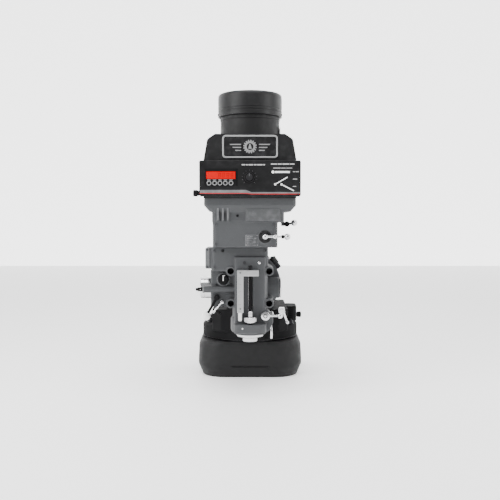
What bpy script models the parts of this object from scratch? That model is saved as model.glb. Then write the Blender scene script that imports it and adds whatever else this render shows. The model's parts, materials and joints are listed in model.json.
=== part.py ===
"""Turret milling machine head with its ram, turret and column top.

Metres, +Z up, front towards -Y.  The origin is on the turret axis, in the flat bottom face
of the column top.  The spindle axis is vertical, 0.4 m in front of the turret axis.
"""

import math

import bmesh
import bpy
from mathutils import Matrix, Vector

# Driving dimensions -------------------------------------------------------------------------
GAP = 0.0003                 # clearance between neighbouring pieces
SPINDLE_Y = -0.400           # spindle axis
PIVOT_Y = -0.178             # nod pivot, across the ram's fork
TILT_Z = 0.349               # height of the nod pivot and of the head's tilt axis
BACK_Y = -0.268              # head's mounting face, against the adapter
MOTOR_Y = -0.250             # motor axis
QUILL_RADIUS = 0.043
QUILL_LOW = 0.1873           # underside of the quill at rest
QUILL_HIGH = 0.440
SPINDLE_LOW = 0.171
NOSE_RADIUS = 0.0238
NOSE_HIGH = 0.264              # joint between the tapered nose and the splined shaft
COLUMN_HIGH = 0.127
TURRET_RADIUS = 0.176
TURRET_HIGH = 0.182
WAYS_HIGH = 0.242
RAM_HIGH = 0.420
RAM_HALF = 0.085
HOUSING_HIGH = 0.475         # joint between quill housing and gear housing
GEARBOX_HIGH = 0.627         # joint between gear housing and belt housing
BELT_TOP = 0.821             # top of the belt housing
BELT_FRONT = -0.510
BELT_BACK = -0.135
PANEL_FRONT = -0.530
PANEL_LOW = 0.631
PANEL_HIGH = 0.739
PANEL_HALF = 0.153
MOTOR_RADIUS = 0.1016
CAP_RADIUS = 0.1086
CAP_HIGH = 0.983
BELT_Z = 0.700               # middle of the drive belt
DRIVE_PULLEY_RADIUS = 0.0435
MOTOR_PULLEY_RADIUS = 0.026
PINION_Y = -0.3365           # quill pinion axis, behind the quill
PINION_Z = 0.338
PINION_RADIUS = 0.0198
FEED_FRONT = -0.425          # front face of the feed box
SCREW_X = 0.0012             # micrometer stop screw
SCREW_Y = -0.4865
BOLT_X = 0.0603              # head tilt bolts, measured from the tilt axis
BOLT_Z = 0.0507
PINION = (0.0, PINION_Y, PINION_Z)
TILT = (0.0, 0.0, TILT_Z)
BACK_GEAR = (0.0, -0.3300, 0.0)
FEED_DIAL = (-0.0844, FEED_FRONT, 0.372)
TRIP_PIVOT = (-0.1048, FEED_FRONT, 0.315)
ENGAGE_PIVOT = (-0.0880, FEED_FRONT, 0.3000)
FINE_FEED = (0.0, -0.430, 0.3405)
QUILL_LOCK = (0.0476, -0.468, 0.2626)
RANGE_PIVOT = (0.046, -0.495, 0.509)
BRAKE_PIVOT = (0.118, -0.392, 0.5472)
TILT_WORM = (0.084, -0.288, 0.4175)
WORM_AXIS = (0.58, 0.0, -0.8146)
FACING = (0, 1, 0)              # axis of everything that turns on the head's front
PAD_FRONT = -0.466              # machined pad that carries the depth scale
STOP_SLOT = (-0.0055, 0.0085)   # left and right edges of the slot in front of the quill
BOSS_RADIUS = 0.0148            # round bosses that the tilt bolts pass through
BOSS_FRONT = -0.459
BOLTS = [(x, TILT_Z + z) for x in (-BOLT_X, BOLT_X) for z in (-BOLT_Z, BOLT_Z)]
RACK_TOOTH = 0.01058            # pitch of the quill rack
RAM_CLAMP = (0.112, -0.165, 0.238)
RAM_LOCK = (0.0755, -0.165, 0.232)
RAM_PINION = (0.0, 0.0, 0.204)
RAM_PINION_RADIUS = 0.0318
RAM_TOOTH = 0.0208              # pitch of the rack under the ram
RAM_RACK = (0.0590, 0.0670)     # left and right faces of that rack
DOVETAIL_LOW, DOVETAIL_HIGH = 0.055, 0.039      # half widths of the ram's dovetail
BUTTON_X = (-0.1234, -0.1065, -0.0905, -0.0742, -0.0573)
BUTTON_Z = 0.671
SPEED_KNOB = (-0.002, PANEL_FRONT, 0.688)
SWITCH_KNOB = (-PANEL_HALF, -0.518, 0.641)
WINDOW = (-0.1327, -0.0434, 0.6828, 0.7066)     # left, right, bottom, top
SEGMENTS = 24                # facets round a large turned piece
SMALL = 12                   # facets round a small one

for thing in list(bpy.data.objects):
    bpy.data.objects.remove(thing, do_unlink=True)

# Materials ----------------------------------------------------------------------------------
FINISHES = {                 # base colour, roughness, metallic
    "black_paint": ((0.020, 0.020, 0.021), 0.45, 0.0),
    "grey_paint": ((0.085, 0.087, 0.090), 0.42, 0.0),
    "light_grey": ((0.300, 0.305, 0.310), 0.40, 0.3),
    "bright_steel": ((0.720, 0.725, 0.730), 0.22, 1.0),
    "dark_steel": ((0.060, 0.060, 0.062), 0.38, 1.0),
    "black_plastic": ((0.015, 0.015, 0.016), 0.40, 0.0),
    "rubber": ((0.022, 0.022, 0.022), 0.80, 0.0),
    "red_window": ((0.800, 0.020, 0.030), 0.25, 0.0),
    "button_grey": ((0.450, 0.450, 0.450), 0.45, 0.0),
}


def finish_of(node, finish):
    """Give a node its own material, in one of the named finishes."""
    colour, roughness, metallic = FINISHES[finish]
    material = bpy.data.materials.new(f"{node}_{finish}")
    material.use_nodes = True
    shader = material.node_tree.nodes["Principled BSDF"]
    shader.inputs["Base Color"].default_value = (*colour, 1.0)
    shader.inputs["Roughness"].default_value = roughness
    shader.inputs["Metallic"].default_value = metallic
    return material


# Shape makers -------------------------------------------------------------------------------
def node_from(mesh_data, name, finish, origin=(0, 0, 0)):
    """Turn a bmesh in world coordinates into an object whose origin is at origin."""
    bmesh.ops.remove_doubles(mesh_data, verts=mesh_data.verts, dist=1e-7)
    bmesh.ops.recalc_face_normals(mesh_data, faces=mesh_data.faces)
    mesh = bpy.data.meshes.new(name)
    mesh_data.to_mesh(mesh)
    mesh_data.free()
    mesh.transform(Matrix.Translation(-Vector(origin)))
    mesh.shade_smooth()
    mesh.set_sharp_from_angle(angle=math.radians(35))
    if finish:
        mesh.materials.append(finish_of(name, finish))
    node = bpy.data.objects.new(name, mesh)
    node.location = origin
    bpy.context.scene.collection.objects.link(node)
    return node


def add_turned(mesh_data, profile, centre, axis=(0, 0, 1), segments=SEGMENTS):
    """Add the body that profile, a loop of (radius, height) points, sweeps round an axis."""
    turn = Vector((0, 0, 1)).rotation_difference(Vector(axis)).to_matrix().to_4x4()
    place = Matrix.Translation(Vector(centre)) @ turn
    rings = []
    for radius, height in profile:
        count = segments if radius > 1e-6 else 1
        angles = [2 * math.pi * (i + 0.5) / segments for i in range(count)]
        points = [Vector((radius * math.cos(a), radius * math.sin(a), height)) for a in angles]
        rings.append([mesh_data.verts.new(place @ point) for point in points])
    closed = profile[0][0] > 1e-6 or profile[-1][0] > 1e-6
    pairs = list(zip(rings, rings[1:] + rings[:1])) if closed else list(zip(rings, rings[1:]))
    for low, high in pairs:
        for i in range(segments):
            j = (i + 1) % segments
            corners = [low[i % len(low)], low[j % len(low)], high[j % len(high)], high[i % len(high)]]
            unique = list(dict.fromkeys(corners))
            if len(unique) > 2:
                mesh_data.faces.new(unique)


def add_loft(mesh_data, loops):
    """Add the body through several loops of as many 3-D points, flat at both ends."""
    rings = [[mesh_data.verts.new(point) for point in loop] for loop in loops]
    count = len(rings[0])
    for low, high in zip(rings, rings[1:]):
        for i in range(count):
            j = (i + 1) % count
            mesh_data.faces.new((low[i], low[j], high[j], high[i]))
    mesh_data.faces.new(rings[0])
    mesh_data.faces.new(rings[-1])


def add_prism(mesh_data, outline, axis, low, high):
    """Add an outline pushed along X, Y or Z; its points are the other two coordinates."""
    def point(pair, along):
        order = {"X": (along, *pair), "Y": (pair[0], along, pair[1]), "Z": (*pair, along)}
        return order[axis]
    add_loft(mesh_data, [[point(pair, along) for pair in outline] for along in (low, high)])


def add_box(mesh_data, low, high):
    add_prism(mesh_data, rectangle(low[0], high[0], low[1], high[1]), "Z", low[2], high[2])


def rectangle(left, right, low, high):
    return [(left, low), (right, low), (right, high), (left, high)]


def arc(centre, radius, start, end, steps):
    """Points of an arc, angles in degrees."""
    angles = [math.radians(start + (end - start) * i / steps) for i in range(steps + 1)]
    return [(centre[0] + radius * math.cos(a), centre[1] + radius * math.sin(a)) for a in angles]


def rounded(left, right, low, high, radius, steps=4):
    """A rectangle with round corners."""
    corners = [((right - radius, low + radius), -90), ((right - radius, high - radius), 0),
               ((left + radius, high - radius), 90), ((left + radius, low + radius), 180)]
    return [p for centre, start in corners for p in arc(centre, radius, start, start + 90, steps)]


def belt_outline(front_radius, back_radius, steps=10):
    """A tight loop round the spindle axis and the motor axis, seen from above."""
    lean = math.degrees(math.asin((front_radius - back_radius) / (MOTOR_Y - SPINDLE_Y)))
    front = arc((0, SPINDLE_Y), front_radius, 180 - lean, 360 + lean, steps)
    back = arc((0, MOTOR_Y), back_radius, lean, 180 - lean, steps)
    return front + back


def turned(name, finish, profile, centre, axis=(0, 0, 1), segments=SEGMENTS, origin=None):
    mesh_data = bmesh.new()
    add_turned(mesh_data, profile, centre, axis, segments)
    return node_from(mesh_data, name, finish, centre if origin is None else origin)


def prism(name, finish, outline, axis, low, high, origin=(0, 0, 0)):
    mesh_data = bmesh.new()
    add_prism(mesh_data, outline, axis, low, high)
    return node_from(mesh_data, name, finish, origin)


def box(name, finish, low, high, origin=(0, 0, 0)):
    mesh_data = bmesh.new()
    add_box(mesh_data, low, high)
    return node_from(mesh_data, name, finish, origin)


def disc(radius, low, high):
    """Profile of a plain cylinder."""
    return [(0, low), (radius, low), (radius, high), (0, high)]


def ring(inner, outer, low, high):
    """Profile of a plain sleeve."""
    return [(inner, low), (outer, low), (outer, high), (inner, high)]


def ball(radius, height, steps=5):
    """Profile of a ball centred at height."""
    points = arc((0, height), radius, -90, 90, steps)
    return [(0, points[0][1]), *points[1:-1], (0, points[-1][1])]


def combine(target, tool, operation="UNION"):
    """Join a tool to the target, or cut it away; the tool itself is only a guide."""
    modifier = target.modifiers.new(tool.name, "BOOLEAN")
    modifier.operation = operation
    modifier.solver = "EXACT"
    modifier.object = tool
    tool.hide_render = True
    tool.display_type = "WIRE"
    tool.parent = target
    tool.matrix_parent_inverse = Matrix.Translation(-target.location)


def add(target, *tools):
    for tool in tools:
        combine(target, tool, "UNION")


def cut(target, *tools):
    for tool in tools:
        combine(target, tool, "DIFFERENCE")


def gear_outline(centre, radius, depth, teeth):
    """Outline of a spur gear with straight-sided teeth."""
    points = []
    for tooth in range(teeth):
        for share, reach in ((0.0, -depth), (0.25, -depth), (0.42, 0.0), (0.83, 0.0)):
            angle = 2 * math.pi * (tooth + share) / teeth
            points.append((centre[0] + (radius + reach) * math.cos(angle),
                           centre[1] + (radius + reach) * math.sin(angle)))
    return points


# Column, turret and ram ---------------------------------------------------------------------
def make_column():
    sections = ((0.0, 0.1720, 0.1650), (0.041, 0.1880, 0.1720), (0.060, 0.1875, 0.1720),
                (0.112, 0.1850, 0.1710), (COLUMN_HIGH, 0.1770, 0.1660))
    mesh_data = bmesh.new()
    add_loft(mesh_data, [[(x, y, z) for x, y in rounded(-half, half, -deep, deep, 0.085, 6)]
                         for z, half, deep in sections])
    node_from(mesh_data, "column_top", "black_paint")


def make_turret():
    base_low = COLUMN_HIGH + GAP
    base = turned("turret_base", "black_paint",
                  [(0, base_low), (TURRET_RADIUS - 0.004, base_low), (TURRET_RADIUS, base_low + 0.004),
                   (TURRET_RADIUS, TURRET_HIGH - 0.006), (TURRET_RADIUS - 0.006, TURRET_HIGH),
                   (0, TURRET_HIGH)], (0, 0, 0), segments=28)
    ways = prism("ways_block", None,
                 [(-0.103, -0.165), (0.103, -0.165), (0.135, -0.130), (0.135, 0.165), (-0.135, 0.165),
                  (-0.135, -0.130)], "Z", TURRET_HIGH - 0.020, WAYS_HIGH)
    dovetail = prism("dovetail_slot", None, dovetail_outline(0.0), "Y", -0.25, 0.25)
    stud_hole = turned("clamp_stud_hole", None, disc(0.0063, -0.030, 0.020), RAM_CLAMP, (0, 1, 0), SMALL)
    pocket_left, pocket_right = RAM_RACK[0] - 0.0005, RAM_RACK[1] + 0.0005
    pinion_hole = turned("ram_pinion_hole", None, disc(0.0330, pocket_left, 0.20), RAM_PINION, (1, 0, 0), 20)
    add(base, ways)
    lock_hole = turned("lock_stud_hole", None, disc(0.0053, -0.020, 0.020), RAM_LOCK, (0, 1, 0), SMALL)
    rack_groove = box("rack_groove", None, (pocket_left, -0.25, 0.2362), (pocket_right, 0.25, 0.25))
    cut(base, dovetail, stud_hole, lock_hole, pinion_hole, rack_groove)

    bracket = prism("ram_pinion_housing", "black_paint",
                    [(0.1353, -0.050), (0.160, -0.050), (0.173, -0.032), (0.173, 0.050),
                     (0.1353, 0.050)], "Z", 0.185, 0.2405)
    cut(bracket, turned("ram_shaft_hole", None, disc(0.0083, 0.12, 0.20), RAM_PINION, (1, 0, 0), SMALL))
    add(bracket, turned("ram_scale_boss", None, disc(0.006, 0.168, 0.1745),
                        (0, 0.036, 0.212), (1, 0, 0), SMALL))


def dovetail_outline(shrink):
    """Cross-section of the ram's dovetail, narrower by shrink on each face."""
    low = 0.210 + shrink
    return [(-DOVETAIL_LOW + shrink, low), (DOVETAIL_LOW - shrink, low),
            (DOVETAIL_HIGH - shrink, WAYS_HIGH + 0.002), (-DOVETAIL_HIGH + shrink, WAYS_HIGH + 0.002)]


def make_ram_handle():
    """Pinion shaft under the ram, with its black hand knob on the right."""
    shaft = turned("ram_pinion_shaft", "dark_steel", disc(0.008, RAM_RACK[0], 0.1765), RAM_PINION, (1, 0, 0),
                   SMALL)
    add(shaft, prism("ram_pinion", None, gear_outline(RAM_PINION[1:], RAM_PINION_RADIUS, 0.006, 10), "X",
                     *RAM_RACK))
    knob = [(0, 0.1768), (0.009, 0.1768), (0.0105, 0.179), (0.0105, 0.183), (0.009, 0.1835),
            (0.009, 0.1915), (0.007, 0.193), (0, 0.193)]
    turned("ram_handle_knob", "black_plastic", knob, RAM_PINION, (1, 0, 0), 8)


def make_ram_clamp():
    """Silver levers that clamp the ram: one on the corner of the ways, one on their front."""
    x, y, z = RAM_CLAMP
    lever = turned("ram_clamp_lever", "bright_steel",
                   [(0, -0.025), (0.010, -0.025), (0.011, -0.023), (0.011, -0.0005), (0.006, -0.0003),
                    (0.006, 0.018), (0, 0.018)], RAM_CLAMP, (0, 1, 0), SMALL)
    head = box("clamp_lever_head", None, (x - 0.012, y - 0.0245, z + 0.001),
               (x + 0.010, y - 0.008, z + 0.014))
    direction = Vector((0.017, 0, -0.043)).normalized()
    start = Vector((x + 0.004, y - 0.0165, z))
    rod = turned("clamp_lever_rod", None, [(0, 0), (0.0042, 0), (0.0034, 0.040), (0, 0.040)], start,
                 direction, 10)
    bulb = turned("clamp_lever_bulb", None, ball(0.0062, 0.042, 6), start, direction, 10)
    add(lever, head, rod, bulb)

    x, y, z = RAM_LOCK
    lock = turned("ram_lock_lever", "bright_steel",
                  [(0, -0.020), (0.007, -0.020), (0.008, -0.018), (0.008, -0.0003), (0.005, -0.0003),
                   (0.005, 0.018), (0, 0.018)], RAM_LOCK, (0, 1, 0), SMALL)
    add(lock, turned("lock_lever_rod", None,
                     [(0, 0), (0.0022, 0), (0.0024, 0.045), (0.0044, 0.055), (0.0047, 0.088),
                      (0.0030, 0.092), (0, 0.092)], (x, y - 0.013, z), (0, 0, -1), 10))


def make_ram():
    body_front = -0.124
    body_back = 0.270
    low = WAYS_HIGH + GAP
    outline = [(-RAM_HALF, low), (RAM_HALF, low), (RAM_HALF, RAM_HIGH - 0.030),
               *arc((RAM_HALF - 0.030, RAM_HIGH - 0.030), 0.030, 15, 90, 3),
               *arc((-RAM_HALF + 0.030, RAM_HIGH - 0.030), 0.030, 90, 165, 3),
               (-RAM_HALF, RAM_HIGH - 0.030)]
    ram = prism("ram", "black_paint", outline, "Y", body_front, body_back)
    add(ram, prism("ram_dovetail", None, dovetail_outline(GAP), "Y", body_front, body_back))
    for side in (-1, 1):
        inner, outer = sorted((side * 0.0403, side * 0.080))
        cheek = prism(f"ram_cheek_{side + 2}", None,
                      [(body_front + 0.020, TILT_Z - 0.055),
                       (body_front + 0.020, TILT_Z + 0.055),
                       *arc((PIVOT_Y, TILT_Z), 0.055, 90, 270, 8)], "X", inner, outer)
        add(ram, cheek)
    cut(ram, box("ram_core", None, (-0.045, body_front + 0.030, 0.268), (0.045, body_back + 0.01, 0.395)))
    cut(ram, turned("nod_pin_bore", None, disc(0.0203, -0.1, 0.1), (0, PIVOT_Y, TILT_Z), (1, 0, 0), 20))
    cut(ram, box("rack_seat", None, (RAM_RACK[0] - GAP, body_front - 0.01, 0.20),
                 (RAM_RACK[1] + GAP, body_back + 0.01, 0.2488)))
    rack_low, rack_high, rack_front, teeth = 0.2368, 0.2485, -0.115, 18
    outline = [(rack_front + teeth * RAM_TOOTH, rack_high), (rack_front, rack_high)]
    for tooth in range(teeth):
        for share, height in ((0.05, 0.004), (0.25, 0.0), (0.60, 0.0), (0.80, 0.004)):
            outline.append((rack_front + (tooth + share) * RAM_TOOTH, rack_low + height))
    prism("ram_rack", "dark_steel", outline, "X", *RAM_RACK)
    box("ram_rear_cover", "black_paint", (-0.075, body_back + GAP, 0.252), (0.075, body_back + 0.006, 0.406))
    turned("nod_pivot_pin", "dark_steel", disc(0.020, -0.084, 0.084), (0, PIVOT_Y, TILT_Z), (1, 0, 0), 20)


def make_adapter():
    centre = (0, 0, TILT_Z)
    front = BACK_Y + GAP
    back = -0.240
    slot_in, slot_out, slot_deep = 0.0690, 0.0885, front + 0.017
    adapter = turned("ram_adapter", "black_paint",
                     [(0, back), (0.100, back), (0.100, front), (slot_out, front),
                      (slot_out, slot_deep), (slot_in, slot_deep), (slot_in, front), (0, front)],
                     centre, (0, 1, 0), 28, (0, PIVOT_Y, TILT_Z))
    tongue = prism("adapter_tongue", None,
                   [(back - 0.006, TILT_Z - 0.058), *arc((PIVOT_Y, TILT_Z), 0.050, -90, 90, 8),
                    (back - 0.006, TILT_Z + 0.058)], "X", -0.040, 0.040)
    add(adapter, tongue)
    cut(adapter, turned("adapter_pin_bore", None, disc(0.0203, -0.1, 0.1), (0, PIVOT_Y, TILT_Z),
                        (1, 0, 0), 20))


def make_turret_group():
    make_column()
    make_turret()
    make_ram_handle()
    make_ram_clamp()
    make_ram()
    make_adapter()


make_turret_group()


# Head castings ------------------------------------------------------------------------------


def make_quill_housing():
    spindle = (0, SPINDLE_Y, 0)
    top = HOUSING_HIGH
    housing = turned("quill_housing", "grey_paint",
                     [(0, 0.197), (0.050, 0.197), (0.058, 0.203), (0.062, 0.212), (0.062, 0.245),
                      (0.056, 0.252), (0.056, top - 0.010), (0, top - 0.010)], spindle, segments=24)
    clamp = [(0, 0.1985), (0.040, 0.1985), (0.062, 0.213), (0.073, 0.238), (0.073, 0.262), (0, 0.262)]
    add(housing,
        prism("clamp_block", None, clamp, "Y", -0.452, -0.352),
        prism("ledge", None, rounded(-0.050, 0.050, -0.505, -0.400, 0.020, 3), "Z", 0.2120, 0.2375),
        prism("front_pad", None, rounded(-0.048, 0.048, PAD_FRONT, -0.380, 0.006, 2), "Z", 0.236, top - 0.03),
        prism("web", None, rectangle(-0.0555, 0.0555, -0.402, -0.290), "Z", 0.2460, top - 0.02),
        turned("rear_flange", None, disc(0.102, BACK_Y - 0.032, BACK_Y), TILT, FACING, 28),
        prism("upper_block", None, rounded(-0.120, 0.057, -0.457, -0.296, 0.010, 2), "Z", 0.4000, top),
        prism("feed_box", None, rounded(-0.125, -0.040, FEED_FRONT, -0.305, 0.006, 2), "Z", 0.2850, 0.4020),
        prism("side_cover", None, rounded(-0.141, -0.100, -0.445, -0.320, 0.006, 2), "Z", 0.4070, 0.4720),
        turned("pinion_boss", None, disc(0.0346, 0.040, 0.0965), PINION, (1, 0, 0)),
        turned("fine_feed_boss", None, disc(0.0105, -0.150, -0.045), FINE_FEED, (1, 0, 0), SMALL),
        turned("lock_boss", None, disc(0.0170, 0.0, 0.050), QUILL_LOCK, FACING, 18))
    for number, (x, z) in enumerate(BOLTS):
        boss = disc(BOSS_RADIUS, BOSS_FRONT, -0.290)
        add(housing, turned(f"bolt_boss_{number}", None, boss, (x, 0, z), FACING, 20))
    cut(housing,
        turned("quill_bore", None,
               [(0, 0.15), (QUILL_RADIUS + GAP, 0.15), (QUILL_RADIUS + GAP, QUILL_HIGH + 0.003),
                (0.021, QUILL_HIGH + 0.003), (0.021, 0.50), (0, 0.50)], spindle, segments=24),
        box("stop_slot", None, (STOP_SLOT[0], -0.55, 0.2600), (STOP_SLOT[1], -0.42, 0.4060)),
        turned("pinion_chamber", None,
               [(0, -0.152), (0.0108, -0.152), (0.0108, -0.0225), (0.0213, -0.0222), (0.0213, 0.0222),
                (0.0108, 0.0225), (0.0108, 0.11), (0, 0.11)], PINION, (1, 0, 0), 20),
        turned("lock_hole", None, disc(0.0053, -0.01, 0.026), QUILL_LOCK, FACING, SMALL),
        turned("dial_hole", None, disc(0.0063, -0.01, 0.026), FEED_DIAL, FACING, SMALL),
        turned("trip_hole", None, disc(0.0043, -0.01, 0.023), TRIP_PIVOT, FACING, SMALL),
        turned("engage_hole", None, disc(0.0043, -0.01, 0.023), ENGAGE_PIVOT, FACING, SMALL),
        turned("fine_feed_bore", None, disc(0.0063, -0.16, -0.0695), FINE_FEED, (1, 0, 0), SMALL),
        turned("screw_seat", None, disc(0.0053, 0.2250, 0.30), (SCREW_X, SCREW_Y, 0), (0, 0, 1), SMALL),
        turned("worm_notch", None, disc(0.0123, -0.030, 0.035), TILT_WORM, WORM_AXIS, SMALL))
    for number, (x, z) in enumerate(BOLTS):
        counterbore = [(0, BOSS_FRONT - 0.01), (0.0100, BOSS_FRONT - 0.01), (0.0100, -0.396),
                       (0.0063, -0.396), (0.0063, -0.25), (0, -0.25)]
        cut(housing, turned(f"bolt_hole_{number}", None, counterbore, (x, 0, z), FACING, 16))


def make_gear_housing():
    low = HOUSING_HIGH + GAP
    mesh_data = bmesh.new()
    flange = ((0.585, 0.124, -0.497, -0.200), (0.6047, 0.141, -0.506, -0.140),
              (GEARBOX_HIGH, 0.141, -0.506, -0.140))
    add_loft(mesh_data, [[(x, y, z) for x, y in rounded(-half, half, front, back, 0.012, 2)]
                         for z, half, front, back in flange])
    housing = node_from(mesh_data, "gear_housing", "grey_paint")
    add(housing,
        prism("lower_case", None, rounded(-0.115, 0.085, -0.495, -0.290, 0.012, 3), "Z", low, 0.560),
        prism("upper_case", None, rounded(-0.117, 0.105, -0.4945, -0.285, 0.012, 3), "Z", 0.5530, 0.590),
        box("front_pad_upper", None, (-0.012, -0.502, 0.5560), (0.092, -0.480, 0.596)),
        box("brake_bracket", None, (0.100, -0.3917, 0.5410), (0.1245, -0.380, 0.5535)))
    for number, x in enumerate((-0.098, -0.083, -0.068)):
        add(housing, box(f"rib_{number}", None, (x - 0.003, -0.5020, 0.5570), (x + 0.003, -0.4850, 0.5985)))
    spindle = (0, SPINDLE_Y, 0)
    cut(housing,
        turned("sleeve_bore", None,
               [(0, 0.40), (0.021, 0.40), (0.021, 0.4875), (0.047, 0.4875), (0.047, 0.70), (0, 0.70)],
               spindle),
        turned("back_gear_bore", None,
               [(0, 0.4783), (0.0063, 0.4783), (0.0063, 0.4870), (0.0270, 0.4870), (0.0270, 0.70), (0, 0.70)],
               BACK_GEAR),
        turned("range_hole", None, disc(0.0063, -0.02, 0.022), RANGE_PIVOT, FACING, SMALL),
        turned("brake_hole", None, disc(0.0043, -0.01, 0.009), BRAKE_PIVOT, FACING, SMALL))


def make_belt_housing():
    low = GEARBOX_HIGH + GAP
    half = [(0.1413, low), (0.1413, 0.7406), (0.1303, 0.8027), (0.1066, BELT_TOP)]
    outline = half + [(-x, z) for x, z in reversed(half)]
    housing = prism("belt_housing", "black_paint", outline, "Y", BELT_FRONT, BELT_BACK)
    bay = [(0.0540, 0.60), (0.1353, 0.60), (0.1353, 0.740), (0.1247, 0.7985), (0.1040, 0.8145),
           (0.0540, 0.8145)]
    for side in (-1, 1):
        cut(housing, prism(f"side_bay_{side + 2}", None, [(side * x, z) for x, z in bay], "Y",
                           BELT_FRONT + 0.006, BELT_BACK - 0.006))
    cut(housing,
        prism("belt_channel", None, belt_outline(0.0483, 0.0320), "Z", 0.60, 0.745),
        turned("motor_shaft_hole", None, disc(0.0175, 0.70, 0.85), (0, MOTOR_Y, 0), segments=20))
    mesh_data = bmesh.new()
    add_prism(mesh_data, rounded(-0.084, 0.084, 0.7475, 0.8165, 0.010, 3), "Y", BELT_FRONT - 0.0045,
              BELT_FRONT - GAP)
    plate = node_from(mesh_data, "nameplate", "light_grey")
    cut(plate, prism("nameplate_field", None, rounded(-0.079, 0.079, 0.7525, 0.8115, 0.006, 3), "Y",
                     BELT_FRONT - 0.01, BELT_FRONT - 0.0025))


# Control panel ------------------------------------------------------------------------------
def make_panel():
    back = BELT_FRONT - GAP
    wall = 0.003
    panel = box("control_panel", "black_paint", (-PANEL_HALF, PANEL_FRONT, PANEL_LOW),
                (PANEL_HALF, back, PANEL_HIGH))
    left, right, low, high = WINDOW
    cut(panel,
        box("panel_inside", None, (-PANEL_HALF + wall, PANEL_FRONT + wall, PANEL_LOW + wall),
            (PANEL_HALF - wall, back + 0.01, PANEL_HIGH - wall)),
        box("window_hole", None, (left, PANEL_FRONT - 0.01, low), (right, PANEL_FRONT + 0.01, high)),
        turned("speed_hole", None, disc(0.0038, -0.01, 0.01), SPEED_KNOB, FACING, SMALL),
        turned("switch_hole", None, disc(0.0038, -0.01, 0.01), SWITCH_KNOB, (1, 0, 0), SMALL))
    for number, x in enumerate(BUTTON_X):
        place = (x, PANEL_FRONT, BUTTON_Z)
        cut(panel, turned(f"button_hole_{number + 1}", None, disc(0.0073, -0.01, 0.01), place, FACING, SMALL))
        turned(f"panel_button_{number + 1}", "button_grey",
               [(0, -0.0027), (0.0062, -0.0027), (0.0070, -0.0020), (0.0070, 0.0100), (0, 0.0100)], place,
               FACING, SMALL)
    box("display_window", "red_window", (left + GAP, PANEL_FRONT + 0.0002, low + GAP),
        (right - GAP, PANEL_FRONT + 0.0100, high - GAP))
    turned("speed_knob", "black_plastic",
           [(0, -0.0200), (0.0140, -0.0200), (0.0155, -0.0185), (0.0170, -0.0040), (0.0185, -0.0030),
            (0.0185, -GAP), (0.0033, -GAP), (0.0033, 0.0120), (0, 0.0120)], SPEED_KNOB, FACING, 20)
    turned("switch_knob", "black_plastic",
           [(0, -0.0190), (0.0080, -0.0190), (0.0098, -0.0175), (0.0098, -0.0060), (0.0075, -0.0050),
            (0.0075, -GAP), (0.0033, -GAP), (0.0033, 0.0120), (0, 0.0120)], SWITCH_KNOB, (1, 0, 0), 12)


# Motor and belt drive -----------------------------------------------------------------------
def make_motor():
    axis = (0, MOTOR_Y, 0)
    low = BELT_TOP + GAP
    shoulder = 0.9045
    turned("motor_frame", "black_paint",
           [(0.0145, low), (MOTOR_RADIUS, low), (MOTOR_RADIUS, shoulder), (0.0985, shoulder),
            (0.0985, 0.926), (0.047, 0.926), (0.047, low + 0.012), (0.0145, low + 0.012)], axis, segments=28)
    turned("motor_cap", "black_paint",
           [(0.0990, shoulder + 0.0005), (CAP_RADIUS, shoulder + 0.0005), (CAP_RADIUS, CAP_HIGH - 0.014),
            (CAP_RADIUS - 0.004, CAP_HIGH - 0.005), (CAP_RADIUS - 0.013, CAP_HIGH), (0, CAP_HIGH),
            (0, CAP_HIGH - 0.006), (0.0920, CAP_HIGH - 0.006), (0.0990, CAP_HIGH - 0.013)], axis, segments=28)
    turned("motor_rotor", "dark_steel",
           [(0, 0.682), (0.0140, 0.682), (0.0140, 0.8360), (0.0462, 0.8380), (0.0462, 0.9100),
            (0.0140, 0.9120), (0.0140, 0.9315), (0.0120, 0.9317), (0.0120, 0.9560), (0, 0.9560)], axis,
           segments=20)
    fan = turned("cooling_fan", "black_plastic", ring(0.0123, 0.0240, 0.9325, 0.9500), axis, segments=20)
    blades = 7
    for number in range(blades):
        mesh_data = bmesh.new()
        add_box(mesh_data, (0.0200, -0.0010, 0.9330), (0.0850, 0.0010, 0.9495))
        spin = Matrix.Translation(axis) @ Matrix.Rotation(2 * math.pi * number / blades, 4, "Z")
        bmesh.ops.transform(mesh_data, matrix=spin, verts=mesh_data.verts)
        add(fan, node_from(mesh_data, f"fan_blade_{number}", None))


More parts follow.
